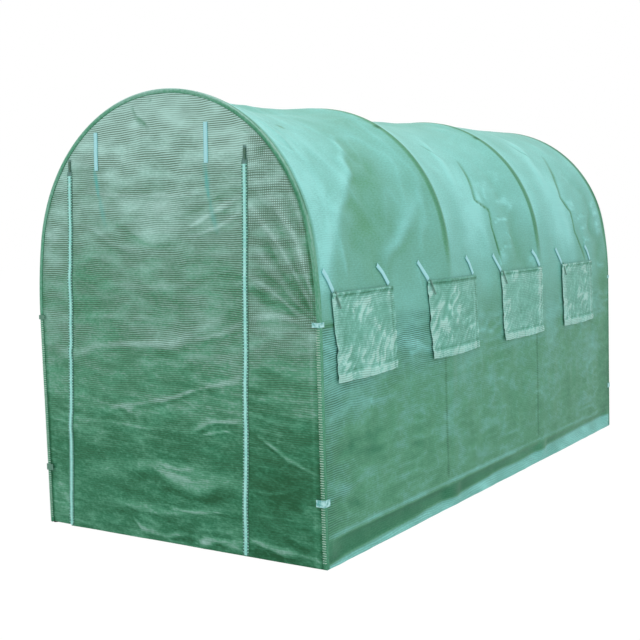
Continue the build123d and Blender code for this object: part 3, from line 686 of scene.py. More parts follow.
def cloth(name, patches, material, thickness=CLOTH):
    """A cloth piece from patches of (grid of points, flat places, faces kept, paint)."""
    corners = []
    faces = []
    flats = []
    paints = {}
    area = 0.0
    start = 0
    for grid, flat, keep, paint in patches:
        rows, columns = grid.shape[:2]
        index = np.arange(rows * columns).reshape(rows, columns)
        quads = np.stack(
            [index[:-1, :-1], index[1:, :-1], index[1:, 1:], index[:-1, 1:]], axis=-1
        )[keep]
        used, renumbered = np.unique(quads, return_inverse=True)
        quads = renumbered.reshape(-1, 4)
        place = flat.reshape(-1, 2)[used]
        sides = place[quads[:, 2]] - place[quads[:, 0]]
        others = place[quads[:, 3]] - place[quads[:, 1]]
        area += float(np.abs(sides[:, 0] * others[:, 1] - sides[:, 1] * others[:, 0]).sum() / 2)
        corners.append(grid.reshape(-1, 3)[used])
        flats.append(place)
        faces.append(quads + start)
        for title, values in paint.items():
            painted = np.broadcast_to(values, (rows, columns)).reshape(-1)
            paints.setdefault(title, []).append(painted[used])
        start += len(used)
    faces = np.concatenate(faces)
    mesh = bpy.data.meshes.new(name)
    mesh.from_pydata(np.concatenate(corners).tolist(), [], faces.tolist())
    layer = mesh.uv_layers.new(name="cut")
    layer.data.foreach_set("uv", np.concatenate(flats)[faces.reshape(-1)].ravel())
    for title, values in paints.items():
        attribute = mesh.attributes.new(title, "FLOAT", "POINT")
        attribute.data.foreach_set("value", np.concatenate(values).astype(np.float32))
    mesh.materials.append(material)
    piece = bpy.data.objects.new(name, mesh)
    bpy.context.scene.collection.objects.link(piece)
    mesh.shade_smooth()
    if thickness:
        shell = piece.modifiers.new("thickness", "SOLIDIFY")
        shell.thickness = thickness
        shell.offset = -1
        apply_modifiers(piece)
        bpy.ops.object.shade_smooth_by_angle(angle=SHARP_ANGLE)
    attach(piece, BODY)
    return piece, area


def whole(grid):
    """Which faces of a grid are kept: all of them."""
    return np.ones((grid.shape[0] - 1, grid.shape[1] - 1), bool)


def spaced(stops, step):
    """Places from the first stop to the last, through each stop, about a step apart."""
    places = [stops[0]]
    for start, end in zip(stops, stops[1:]):
        count = max(1, round((end - start) / step))
        places.extend(start + (end - start) * number / count for number in range(1, count + 1))
    return np.array(places)


def in_openings(arc, y):
    """Whether a place lies in a window opening."""
    found = np.zeros(np.broadcast(arc, y).shape, bool)
    for centre_y, centre_z in WINDOW_CENTRES:
        top, foot = arc_span(centre_z, OPENING[1])
        beside = np.abs(y - centre_y) < OPENING[0] / 2
        found |= beside & (np.abs(arc) > top) & (np.abs(arc) < foot)
    return found


def make_cover_bays(material):
    """Roof and walls, one sheet a bay, down to the foot of both walls."""
    window_top, window_foot = arc_span(WINDOW_HEIGHT, OPENING[1])
    rail = FOOT_ARC - RAIL_HEIGHT
    half_stops = [0.0, window_top, window_foot, rail, FOOT_ARC]
    half_steps = [ROOF_STEP, ROOF_STEP, ROOF_STEP, FOOT_STEP]
    half = [0.0]
    for start, end, step in zip(half_stops, half_stops[1:], half_steps):
        half.extend(spaced([start, end], step)[1:])
    arcs = np.array([-value for value in reversed(half[1:])] + half)
    bands = [FRONT, *HOOPS[1:-1], REAR]
    for number, (start, end) in enumerate(zip(bands, bands[1:]), start=1):
        stops = {start, end}
        for hoop in HOOPS:
            for offset in (-HOOP_STRIPE, -HOOP_REST, 0.0, HOOP_REST, HOOP_STRIPE):
                stops.add(hoop + offset)
        for centre_y, _ in WINDOW_CENTRES:
            stops.add(centre_y - OPENING[0] / 2)
            stops.add(centre_y + OPENING[0] / 2)
        stops = sorted(stop for stop in stops if start <= stop <= end)
        arc, y = np.meshgrid(arcs, spaced(stops, BAY_STEP), indexing="ij")
        middle_arc = (arc[1:, 1:] + arc[:-1, :-1]) / 2
        middle_y = (y[1:, 1:] + y[:-1, :-1]) / 2
        keep = ~in_openings(middle_arc, middle_y)
        flat = np.stack([y, arc], axis=-1)
        patch = (cover_points(arc, y), flat, keep, cover_paint(arc, y))
        piece, area = cloth(f"cover_cloth_{number}", [patch], material)
        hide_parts(f"cover_bay_{number}", "left_skirt", "right_skirt")


def end_patch(rows, left_edge, right_edge, step, place, paint):
    """A patch of an end panel between two upright edges, with a row of points at each height."""
    widest = max(right_edge(z) - left_edge(z) for z in rows)
    columns = max(4, round(widest / step))
    share = np.linspace(0, 1, columns + 1)
    z, part = np.meshgrid(rows, share, indexing="ij")
    left = np.array([left_edge(value) for value in rows])[:, None]
    right = np.array([right_edge(value) for value in rows])[:, None]
    x = left + (right - left) * part
    return place(x, z), np.stack([x, z], axis=-1), whole(x), paint(x, z)


CLOTH_EDGE = 0.003
TOP_ROW = HEIGHT - 0.006


def outline_left(z):
    """Left edge of an end panel."""
    return CLOTH_EDGE - float(half_width_at(z))


def outline_right(z):
    """Right edge of an end panel."""
    return float(half_width_at(z)) - CLOTH_EDGE


def make_front(material):
    """The front panel round the doorway, and the roll-up door between the zips."""
    low_rows = spaced([0.0, DOOR_TOP], FRONT_ROW)[::-1]
    left_rows = spaced([LEFT_STRIP_FOOT, DOOR_TOP], FRONT_ROW)[::-1]
    top_rows = spaced([DOOR_TOP, TOP_ROW], FRONT_ROW)[::-1]
    strips = (
        (left_rows, outline_left, left_zip),
        (low_rows, right_zip, outline_right),
        (top_rows, outline_left, outline_right),
    )
    patches = [
        end_patch(rows, left, right, FRONT_COLUMN, front_points, front_paint)
        for rows, left, right in strips
    ]
    panel, area = cloth("front_cloth", patches, material)
    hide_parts("front_panel")
    door_patch = end_patch(low_rows, left_zip, right_zip, FRONT_COLUMN, front_points, front_paint)
    door, area = cloth("door_cloth", [door_patch], material)
    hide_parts("door_panel")


def make_rear(material):
    """The rear panel, one plain sheet."""
    rows = spaced([0.0, TOP_ROW], REAR_ROW)
    patch = end_patch(rows, outline_left, outline_right, REAR_COLUMN, rear_points, rear_paint)
    panel, area = cloth("rear_cloth", [patch], material)
    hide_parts("rear_panel")


# Section of the rolled edge: how far in from the arch, and how far in front of the end
ROLL_SECTION = (
    (-0.0015, -0.012), (-0.0018, 0.000), (-0.0008, 0.0035), (0.0040, 0.0050), (0.0100, 0.0046),
    (0.0155, 0.0030), (0.0175, 0.0004), (0.0150, -0.0006), (0.0020, -0.0006), (0.0005, -0.012),
)
# Painted light round the roll's section: light on its outer faces, mid on its end face, painted shade on
# its inner faces
ROLL_TONES = (0.40, 0.56, 0.60, 0.36, 0.26, 0.24, 0.10, 0.02, 0.02, 0.02)


def make_edge_roll(name, end_y, outward, material, node):
    """The rolled edge that joins the cover to an end panel, from foot to foot."""
    arcs = spaced([0.004 - FOOT_ARC, 0.0, FOOT_ARC - 0.004], 0.016)
    section = np.array(ROLL_SECTION + ROLL_SECTION[:1])
    tones = np.array(ROLL_TONES + ROLL_TONES[:1])
    arc, part = np.meshgrid(arcs, np.arange(len(section)), indexing="ij")
    x, z, out_x, out_z = arch_place(arc)
    fullness = 1 + 0.10 * smooth_noise(arc * 9, part * 0.2, 71)
    inward = section[part][..., 0]
    forward = section[part][..., 1] * fullness
    grid = np.stack([x - out_x * inward, end_y + outward * forward, z - out_z * inward], axis=-1)
    if outward > 0:
        grid = grid[:, ::-1]
    length = np.cumsum(np.hypot(*np.diff(section, axis=0, prepend=section[:1]).T))
    flat = np.stack([arc, length[part]], axis=-1)
    tone = tones[part] + 0.07 * smooth_noise(arc * 14, part * 0.5, 72)
    showing = tones[part] > 0.12
    # Painted light over the crown of the roll; down the sides its showing faces take the painted tone of
    # the cloth below
    tone = tone + 0.26 * soft_fall(np.abs(arc), 0.0, 0.8) * showing
    plain = np.where(arc > 0, soft_step(arc, 0.9, 1.25), soft_step(-arc, 0.3, 0.9)) * showing
    below = np.interp(np.abs(arc), (0.9, 1.4, 1.8, 2.3), (0.55, 0.46, 0.34, 0.28))
    tone = tone * (1 - 0.85 * plain) + below * 0.85 * plain
    if outward > 0:
        tone = tone[:, ::-1]
    paint = {"tone": tone, "scrim": 0.2 + 0 * tone, "cross": 0 * tone, "streak": 0 * tone}
    piece, _ = cloth(name, [(grid, flat, whole(grid), paint)], material, thickness=0)
    close_tube(piece)
    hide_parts(node)


def close_tube(piece):
    """Merge a swept section's first and last edge and cap its two ends."""
    pick(piece)
    bpy.ops.object.mode_set(mode="EDIT")
    bpy.ops.mesh.select_all(action="SELECT")
    bpy.ops.mesh.remove_doubles(threshold=MERGE_WITHIN)
    bpy.ops.mesh.select_all(action="DESELECT")
    bpy.ops.mesh.select_mode(type="EDGE")
    bpy.ops.mesh.select_non_manifold()
    bpy.ops.mesh.edge_face_add()
    bpy.ops.mesh.select_all(action="SELECT")
    bpy.ops.mesh.normals_make_consistent(inside=False)
    bpy.ops.object.mode_set(mode="OBJECT")


def ribbon(name, path, width, place, material, lift, thickness=0.0014, crown=0.0, tip=1.0):
    """A band of webbing or tape along points on a surface; tip narrows its first 60 mm."""
    points = np.array(path, float)
    steps = np.hypot(*np.diff(points, axis=0).T)
    run = np.concatenate([[0], np.cumsum(steps)])
    stations = spaced(list(run), 0.010)
    centre = np.stack([np.interp(stations, run, points[:, k]) for k in (0, 1)], axis=-1)
    ahead = np.gradient(centre, axis=0)
    ahead = ahead / np.hypot(ahead[:, 0], ahead[:, 1])[:, None]
    across = np.linspace(-0.5, 0.5, 7)
    part, side = np.meshgrid(np.arange(len(stations)), across, indexing="ij")
    side = side * np.interp(stations, (0.045, 0.060), (tip, 1.0))[part]
    a = centre[part][..., 0] + ahead[part][..., 1] * side * width
    b = centre[part][..., 1] - ahead[part][..., 0] * side * width
    rise = lift + thickness + crown * (1 - 4 * side**2)
    grid = place(a, b, rise)
    flat = np.stack([side * width, stations[part]], axis=-1)
    facing = np.cross(grid[1, 0] - grid[0, 0], grid[0, 1] - grid[0, 0])
    above = place(a[:1, :1], b[:1, :1], 0.05)[0, 0] - place(a[:1, :1], b[:1, :1], 0.0)[0, 0]
    if float(np.dot(facing, above)) < 0:
        grid = grid[:, ::-1]
        flat = flat[:, ::-1]
    paint = {"edge": np.abs(flat[..., 0]) / (width / 2)}
    return cloth(name, [(grid, flat, whole(grid), paint)], material, thickness=thickness)


def cover_place(y, arc, lift):
    """A place on the cover for a ribbon, whose points are (y, length from the crown)."""
    return cover_points(arc, y, lift)


def zip_path(line):
    """The zip's line with the slight bends of soft cloth."""
    heights = np.linspace(line[0][1] + 0.012, 0.006, 24)
    bend = 0.0035 * smooth_noise(heights * 4.2, heights * 0, 81 + line[0][0] * 10)
    return [(float(zip_x(line, z) + off), float(z)) for z, off in zip(heights, bend)]


def make_zips(tape_material, coil_material, tooth_material):
    """A tape with a pale coil and its stitches down each side of the door."""
    for side, line in (("left", ZIP_LEFT), ("right", ZIP_RIGHT)):
        path = zip_path(line)
        tape, area = ribbon(
            f"{side}_zip_tape", path, ZIP_TAPE, front_points, tape_material, 0.0006,
            tip=0.55,
        )
        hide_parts(f"{side}_zip")
        low_path = [point for point in path if point[1] < 1.665]
        ribbon(
            f"{side}_zip_coil", low_path, 0.014, front_points, coil_material,
            0.0022, thickness=0.0014, crown=0.0016,
        )
        make_teeth(f"{side}_zip_teeth", low_path, tooth_material)


TOOTH_SIZE = (0.027, 0.0026, 0.0045)
TOOTH_PITCH = 0.0135
STITCH_SIZE = (0.017, 0.0024, 0.0040)
STITCH_PITCH = 0.0100


def make_teeth(name, path, material):
    """The zip's stitches: one small bar, repeated and then laid along the path."""
    tooth = bar_row(name, TOOTH_SIZE, TOOTH_PITCH, path[0][1] - path[-1][1])
    lay_on_front(tooth, path)
    tooth.data.materials.append(material)
    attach(tooth, BODY)


def bar_row(name, size, pitch, length):
    """A small bar repeated downwards from the origin over a length."""
    bpy.ops.object.select_all(action="DESELECT")
    bpy.ops.mesh.primitive_cube_add(size=1)
    bar = bpy.context.object
    bar.name = name
    bpy.ops.object.mode_set(mode="EDIT")
    bpy.ops.mesh.select_all(action="SELECT")
    bpy.ops.transform.resize(value=size)
    bpy.ops.mesh.subdivide(number_cuts=1)
    bpy.ops.object.mode_set(mode="OBJECT")
    row = bar.modifiers.new("row", "ARRAY")
    row.count = int(length / pitch)
    row.use_relative_offset = False
    row.use_constant_offset = True
    row.constant_offset_displace = (0, 0, -pitch)
    apply_modifiers(bar)
    return bar


def vertex_places(piece):
    """The places of a mesh's vertices."""
    places = np.zeros(len(piece.data.vertices) * 3)
    piece.data.vertices.foreach_get("co", places)
    return places.reshape(-1, 3)


def move_vertices(piece, places):
    """Put a mesh's vertices at new places."""
    piece.data.vertices.foreach_set("co", places.ravel())
    piece.data.update()


def uneven(z):
    """How much wider or narrower than the rest a stitch is at its height."""
    return 1 + 0.2 * np.sin(z * 997)


def make_corner_stitches(material):
    """Pale stitches down the four corners below the eave."""
    top = EAVE - 0.02
    for end_name, end_y, outward in (("front", FRONT, -1), ("rear", REAR, 1)):
        for side_name, side in (("left", -1), ("right", 1)):
            bars = bar_row(f"{end_name}_{side_name}_stitches", STITCH_SIZE, STITCH_PITCH, top - 0.012)
            places = vertex_places(bars)
            x = side * (HALF_WIDTH - 0.0095) + places[:, 0] * uneven(places[:, 2])
            y = end_y + outward * (0.0052 + places[:, 1])
            move_vertices(bars, np.stack([x, y, top + places[:, 2]], axis=-1))
            pick(bars)
            bpy.ops.object.mode_set(mode="EDIT")
            bpy.ops.mesh.select_all(action="SELECT")
            bpy.ops.mesh.normals_make_consistent(inside=False)
            bpy.ops.object.mode_set(mode="OBJECT")
            bars.data.materials.append(material)
            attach(bars, BODY)


def lay_on_front(piece, path):
    """Move an upright row of parts onto the front cloth, along a path of (x, z)."""
    points = np.array(path)[::-1]
    top = path[0][1] - 0.004
    places = vertex_places(piece)
    z = top + places[:, 2]
    x = np.interp(z, points[:, 1], points[:, 0]) + places[:, 0] * uneven(z)
    move_vertices(piece, front_points(x, z, 0.0030 - places[:, 1]))


# Materials

def new_material(name):
    """An empty node material with its shader and output."""
    material = bpy.data.materials.new(name)
    material.use_nodes = True
    tree = material.node_tree
    tree.nodes.clear()
    output = tree.nodes.new("ShaderNodeOutputMaterial")
    shader = tree.nodes.new("ShaderNodeBsdfPrincipled")
    tree.links.new(shader.outputs[0], output.inputs[0])
    return material, tree, shader


def colour(red, green, blue):
    """A colour as it looks on screen, 0 to 255, in the shader's linear values."""
    return tuple(
        part / 12.92 if part <= 0.04045 else ((part + 0.055) / 1.055) ** 2.4
        for part in (red / 255, green / 255, blue / 255)
    ) + (1.0,)


def math_node(tree, operation, first, second=None, clamp=False):
    """A Math node on two values or outputs."""
    node = tree.nodes.new("ShaderNodeMath")
    node.operation = operation
    node.use_clamp = clamp
    for socket, value in zip(node.inputs, (first, second)):
        if value is None:
            continue
        if isinstance(value, (int, float)):
            socket.default_value = value
        else:
            tree.links.new(value, socket)
    return node.outputs[0]


def ramp_node(tree, factor, stops):
    """A colour ramp with stops of (place, colour)."""
    node = tree.nodes.new("ShaderNodeValToRGB")
    ramp = node.color_ramp
    while len(ramp.elements) < len(stops):
        ramp.elements.new(0.5)
    for element, (place, shade) in zip(ramp.elements, stops):
        element.position = place
        element.color = shade
    tree.links.new(factor, node.inputs[0])
    return node.outputs[0]


def mix_node(tree, factor, first, second, blend="MIX"):
    """A colour mix of two outputs or colours."""
    node = tree.nodes.new("ShaderNodeMix")
    node.data_type = "RGBA"
    node.blend_type = blend
    for socket, value in ((node.inputs[0], factor), (node.inputs[6], first), (node.inputs[7], second)):
        if isinstance(value, (int, float, tuple)):
            socket.default_value = value
        else:
            tree.links.new(value, socket)
    return node.outputs[2]


def noise_node(tree, place, scale, detail=2.0, stretch=(1, 1, 1)):
    """Noise over a place, stretched by an inverse scale on each axis."""
    mapping = tree.nodes.new("ShaderNodeMapping")
    mapping.inputs["Scale"].default_value = stretch
    tree.links.new(place, mapping.inputs["Vector"])
    node = tree.nodes.new("ShaderNodeTexNoise")
    node.inputs["Scale"].default_value = scale
    node.inputs["Detail"].default_value = detail
    tree.links.new(mapping.outputs[0], node.inputs["Vector"])
    return node.outputs[0]


def attribute_node(tree, title):
    """A painted value of the mesh."""
    node = tree.nodes.new("ShaderNodeAttribute")
    node.attribute_name = title
    return node.outputs["Fac"]


def bump_node(tree, shader, height, strength, distance):
    """Bump from a height output."""
    node = tree.nodes.new("ShaderNodeBump")
    node.inputs["Strength"].default_value = strength
    node.inputs["Distance"].default_value = distance
    tree.links.new(height, node.inputs["Height"])
    tree.links.new(node.outputs[0], shader.inputs["Normal"])


def cut_place(tree):
    """Where a point lies on the flat cloth, whole and as its two coordinates."""
    uv = tree.nodes.new("ShaderNodeUVMap")
    uv.uv_map = "cut"
    parts = tree.nodes.new("ShaderNodeSeparateXYZ")
    tree.links.new(uv.outputs[0], parts.inputs[0])
    return uv.outputs[0], parts.outputs[0], parts.outputs[1]


def scrim_lines(tree, coordinate, warp, width):
    """Thin lines of the reinforcing net along one coordinate, 1 on a line."""
    wavy = math_node(tree, "ADD", coordinate, warp)
    turns = math_node(tree, "MULTIPLY", wavy, 1 / SCRIM_PITCH)
    back_and_forth = math_node(tree, "PINGPONG", turns, 0.5)
    near = math_node(tree, "SUBTRACT", width, back_and_forth)
    return math_node(tree, "MULTIPLY", near, 1 / width, clamp=True)


CLOUD = 0.22
LINE_DRIFT = 0.045
LINE_WIDTH = 0.46
UPRIGHT_WIDTH = 0.30
STRAP_SHADOW = colour(92, 184, 176)


def weave_material(name, stops, line_colour, grain):
    """Woven cover cloth: painted lightness, patchy scrim lines and fine threads."""
    material, tree, shader = new_material(name)
    place, first, second = cut_place(tree)
    cloudy = noise_node(tree, place, 5.0, 5.0)
    threads = noise_node(tree, place, 60.0, 3.0, (1, 2.2, 1))
    tone = attribute_node(tree, "tone")
    cloud = math_node(tree, "MULTIPLY", math_node(tree, "SUBTRACT", cloudy, 0.5), CLOUD)
    thread = math_node(tree, "MULTIPLY", math_node(tree, "SUBTRACT", threads, 0.5), grain)
    shade = math_node(tree, "ADD", math_node(tree, "ADD", tone, cloud), thread)
    base = ramp_node(tree, shade, stops)
    warp = math_node(tree, "MULTIPLY", noise_node(tree, place, 3.0, 2.0), LINE_DRIFT)
    lines = scrim_lines(tree, second, warp, LINE_WIDTH)
    uprights = scrim_lines(tree, first, warp, UPRIGHT_WIDTH)
    beat = noise_node(tree, place, 6.0, 4.0, (1, 2.4, 1))
    patchy = math_node(tree, "MULTIPLY", math_node(tree, "SUBTRACT", beat, 0.20), 2.7, clamp=True)
    scrim = math_node(tree, "MULTIPLY", lines, attribute_node(tree, "scrim"))
    along = math_node(tree, "MULTIPLY", scrim, patchy)
    cross = math_node(tree, "MULTIPLY", uprights, attribute_node(tree, "cross"))
    net = math_node(tree, "MAXIMUM", along, math_node(tree, "MULTIPLY", cross, patchy))
    darker = mix_node(tree, net, base, line_colour)
    streaked = mix_node(tree, attribute_node(tree, "streak"), darker, STRAP_SHADOW)
    tree.links.new(streaked, shader.inputs["Base Color"])
    shader.inputs["Roughness"].default_value = 0.46
    shader.inputs["Specular IOR Level"].default_value = 0.12
    height = math_node(tree, "ADD", math_node(tree, "MULTIPLY", net, 0.6), threads)
    bump_node(tree, shader, height, 0.25, 0.0012)
    return material


# Colours of the painted tone in each cloth, from the deepest painted shade at 0 to the brightest painted
# light at 1
COVER_STOPS = (
    (0.00, colour(44, 114, 82)), (0.22, colour(70, 142, 108)), (0.42, colour(98, 166, 132)),
    (0.60, colour(118, 186, 168)), (0.80, colour(134, 208, 198)), (1.00, colour(156, 232, 226)),
)
END_STOPS = (
    (0.00, colour(34, 100, 66)), (0.22, colour(62, 136, 102)), (0.42, colour(98, 170, 138)),
    (0.62, colour(142, 194, 176)), (0.85, colour(172, 220, 208)), (1.00, colour(190, 236, 226)),
)
FLAP_STOPS = (
    (0.00, colour(58, 124, 98)), (0.25, colour(88, 158, 134)), (0.45, colour(112, 184, 164)),
    (0.65, colour(136, 206, 190)), (0.85, colour(160, 224, 212)), (1.00, colour(188, 240, 230)),
)


RIBS = 420.0
WORN_WEBBING = colour(186, 232, 238)


def webbing_material(name, body, edge):
    """Narrow woven tape: ribs across it, a paler middle and darker edges."""
    material, tree, shader = new_material(name)
    place, _, along = cut_place(tree)
    ribs = math_node(tree, "PINGPONG", math_node(tree, "MULTIPLY", along, RIBS), 0.5)
    worn = noise_node(tree, place, 90.0, 3.0)
    side = math_node(tree, "POWER", attribute_node(tree, "edge"), 3.0, clamp=True)
    ribbed = mix_node(tree, math_node(tree, "MULTIPLY", ribs, 0.5), body, edge)
    faded = mix_node(tree, math_node(tree, "MULTIPLY", worn, 0.35), ribbed, WORN_WEBBING)
    edged = mix_node(tree, math_node(tree, "MULTIPLY", side, 0.8), faded, edge)
    tree.links.new(edged, shader.inputs["Base Color"])
    shader.inputs["Roughness"].default_value = 0.55
    bump_node(tree, shader, math_node(tree, "ADD", ribs, worn), 0.4, 0.0006)
    return material


def plain_material(name, dark, light, scale, roughness, metallic=0.0, bump=0.15):
    """Moulded or coated finish with a mottled colour, for hard parts."""
    material, tree, shader = new_material(name)
    place = tree.nodes.new("ShaderNodeTexCoord").outputs["Object"]
    spots = noise_node(tree, place, scale, 4.0)
    tree.links.new(ramp_node(tree, spots, ((0.3, dark), (0.7, light))), shader.inputs["Base Color"])
    shader.inputs["Roughness"].default_value = roughness
    shader.inputs["Metallic"].default_value = metallic
    bump_node(tree, shader, noise_node(tree, place, scale * 6, 2.0), bump, 0.0008)
    return material


# Name, dark and light colour, scale of the mottling, roughness and, for metals, metallic
PLAIN_FINISHES = {
    "thread": ("pale_thread", colour(128, 180, 154), colour(186, 220, 204), 70, 0.6),
    "coil": ("zip_coil_plastic", colour(142, 224, 216), colour(184, 246, 238), 60, 0.4),
    "tooth": ("zip_tooth_plastic", colour(120, 200, 178), colour(160, 230, 214), 90, 0.5),
    "steel": ("galvanised_steel", colour(150, 156, 158), colour(188, 194, 196), 40, 0.38, 0.85),
    "fitting": ("cast_fitting", colour(120, 126, 128), colour(150, 156, 158), 60, 0.5, 0.7),
    "rubber": ("black_rubber", colour(28, 30, 30), colour(48, 50, 50), 80, 0.8),
    "slider": ("dark_slider", colour(36, 84, 62), colour(56, 108, 84), 120, 0.4),
}


# Painted shade colour of the left corner clips
LEFT_CLIP_SHADE = colour(84, 136, 114)


def clip_material():
    """Corner clips: bright plastic on the right; on the left the same clips in painted shade, dull and
    green.
    """
    material, tree, shader = new_material("clip_plastic")
    place = tree.nodes.new("ShaderNodeTexCoord").outputs["Object"]
    parts = tree.nodes.new("ShaderNodeSeparateXYZ")
    tree.links.new(place, parts.inputs[0])
    spots = noise_node(tree, place, 60.0, 3.0)
    bright = ramp_node(tree, spots, ((0.35, colour(92, 176, 172)), (0.65, colour(190, 242, 242))))
    # The left clips take the painted shade colour, the right ones the bright plastic
    on_right = math_node(tree, "GREATER_THAN", parts.outputs[0], 0.0)
    mixed = mix_node(tree, on_right, LEFT_CLIP_SHADE, bright)
    tree.links.new(mixed, shader.inputs["Base Color"])
    shader.inputs["Roughness"].default_value = 0.4
    return material


NET_THREADS = 500.0


def screen_material():
    """Insect screen: a fine square net, dark between its threads."""
    material, tree, shader = new_material("screen_net")
    _, first, second = cut_place(tree)
    rows = math_node(tree, "PINGPONG", math_node(tree, "MULTIPLY", first, NET_THREADS), 0.5)
    columns = math_node(tree, "PINGPONG", math_node(tree, "MULTIPLY", second, NET_THREADS), 0.5)
    net = math_node(tree, "MULTIPLY", math_node(tree, "MINIMUM", rows, columns), 2.0, clamp=True)
    tree.links.new(
        ramp_node(tree, net, ((0.25, colour(176, 214, 196)), (0.6, colour(58, 88, 74)))),
        shader.inputs["Base Color"],
    )
    shader.inputs["Roughness"].default_value = 0.7
    bump_node(tree, shader, net, 0.3, 0.0008)
    return material


def window_boxes():
    """Side, number and centre of each window."""
    for sign, side in ((-1, "left"), (1, "right")):
        for number, (centre_y, centre_z) in enumerate(WINDOW_CENTRES, start=1):
            yield sign, side, number, centre_y, centre_z


FLAP_LIGHTNESS = (0.48, 0.51, 0.59, 0.53)


def flap_grid(sign, centre_y, centre_z, seed, lightness):
    """Points, flat places and paint of a hanging flap with a rolled top and a crinkled hem."""
    top, foot = arc_span(centre_z, FLAP[1])
    down = spaced([0.0, 0.020, 0.335, FLAP[1]], 0.0068)
    along = spaced([-FLAP[0] / 2, FLAP_STITCH, FLAP[0] / 2], 0.0085)
    b, a = np.meshgrid(down, along, indexing="ij")
    free = soft_step(-a, 0.19, 0.26)
    sewn = soft_step(a, 0.20, 0.25)
    taper = 0.026 * (1 - b / FLAP[1]) * free
    slant = a + 0.85 * b + 0.030 * smooth_noise(a * 12, b * 12, seed + 1)
    across = a - b + 0.020 * smooth_noise(b * 20, a * 20, seed + 3)
    gathered = soft_step(smooth_noise(a * 9, b * 11, seed + 4), -0.4, 0.3)
    crinkle = ridges(across * 7, slant * 32, seed) * gathered
    fine = ridges(across * 15, slant * 58, seed + 5)
    hem = soft_step(b, 0.325, 0.345)
    hem_folds = ridges(a * 30, b * 14, seed + 7)
    roll = bell(b, 0.007, 0.009)
    drape = smooth_noise(a * 9, b * 4, seed + 9)
    lift = 0.004 + 0.005 * crinkle + 0.0018 * fine + 0.003 * drape + 0.006 * roll
    lift += hem * (0.004 + 0.004 * hem_folds) + 0.004 * free
    lift -= 0.003 * sewn
    y = centre_y + a - taper + 0.004 * smooth_noise(b * 14, b * 0, seed + 2) * free
    sag = 0.006 * np.sin((a / FLAP[0] + 0.5) * pi) * soft_step(b, 0.30, FLAP[1])
    arc = sign * (top + (foot - top) * b / FLAP[1] + sag)
    grid = cover_points(arc, y, np.maximum(lift, 0.0025))
    # Painted light on the flap: highlights on its crinkles, drape, free edge and hem, painted shade
    # under the rolled top and above the hem
    tone = lightness + 0.66 * crinkle + 0.28 * fine + 0.10 * drape + 0.26 * free - 0.05 * sewn
    tone += 0.18 * bell(a, 0.216, 0.010)
    tone += hem * (0.26 + 0.24 * hem_folds)
    tone -= 0.45 * bell(b, 0.014, 0.007)
    tone -= 0.24 * bell(b, 0.330, 0.006)
    tone += 0.10 * bell(b, 0.04, 0.03)
    stitched = bell(a, FLAP_STITCH, 0.006) * soft_step(b, 0.02, 0.04)
    if sign < 0:
        grid = grid[::-1]
        a = a[::-1]
        b = b[::-1]
        tone = tone[::-1]
        stitched = stitched[::-1]
    flat = np.stack([a, -sign * b], axis=-1)
    zero = 0 * tone
    scrim = np.minimum(0.55 + 1.1 * stitched, 1)
    paint = {"tone": tone, "scrim": scrim, "cross": 0.25 + zero, "streak": zero}
    return grid, flat, whole(grid), paint


def make_windows(flap_material, net_material, strap_material, tie_material):
    """Screens, flaps and the two straps over each flap."""
    for sign, side, number, centre_y, centre_z in window_boxes():
        top, foot = arc_span(centre_z, OPENING[1])
        rows = spaced([top, foot], SCREEN_STEP)
        rows = rows if sign > 0 else -rows[::-1]
        columns = spaced([centre_y - OPENING[0] / 2, centre_y + OPENING[0] / 2], SCREEN_STEP)
        arc, y = np.meshgrid(rows, columns, indexing="ij")
        patch = (cover_points(arc, y, -0.0008), np.stack([y, arc], axis=-1), whole(arc), {})
        screen, area = cloth(
            f"{side}_screen_{number}", [patch], net_material, thickness=0.0006
        )
        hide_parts(f"{side}_window_screens")
        flap, _ = cloth(
            f"{side}_flap_{number}",
            [flap_grid(sign, centre_y, centre_z, 100 + 10 * number, FLAP_LIGHTNESS[number - 1])],
            flap_material,
        )
        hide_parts(f"{side}_window_flaps")
        flap_top, _ = arc_span(centre_z, FLAP[1])
        first = centre_y - FLAP[0] / 2
        second = centre_y + FLAP[0] / 2 - 0.035
        bend = (second - 0.035, flap_top - 0.065)
        paths = (
            ((first - 0.080, flap_top - 0.098), (first - 0.004, flap_top - 0.008)),
            ((second - 0.072, flap_top - 0.100), bend, (second, flap_top - 0.010)),
        )
        for strap_number, path in enumerate(paths, start=1):
            signed = [(y_place, sign * run) for y_place, run in path]
            strap, _ = ribbon(
                f"{side}_strap_{number}_{strap_number}", signed, WINDOW_STRAP[0], cover_place,
                strap_material, 0.0030, crown=0.002,
            )
            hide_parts(f"{side}_window_straps")
        tie_path = [
            (first - 0.004, sign * (flap_top - 0.008)),
            (first + 0.035, sign * (flap_top + 0.065)),
        ]
        tie, _ = ribbon(
            f"{side}_tie_{number}", tie_path, FLAP_TIE[0], cover_place, tie_material,
            0.0130, crown=0.003,
        )


def make_door_straps(strap_material):
    """The ties of the rolled door, outside and inside."""
    kinds = (
        ("outer", front_points, ((-0.386, 1.672), (0.250, 1.672))),
        ("inner", inner_front, ((-0.361, 1.495), (0.278, 1.495))),
    )
    for (kind, place, feet), length in zip(kinds, DOOR_STRAP_LENGTHS):
        for number, path in enumerate(zip(DOOR_STRAP_TOPS, feet), start=1):
            strap, _ = ribbon(
                f"{kind}_strap_{number}", path, DOOR_STRAP, place, strap_material,
                0.0012, crown=0.0018,
            )
            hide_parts(f"{kind}_door_straps")


def inner_front(x, z, lift):
    """A place behind the front cloth."""
    return np.stack([x, FRONT + 0.003 + lift + 0 * x, z + 0 * x], axis=-1)


HEM_END = 0.775
HEM_GAP = 0.018


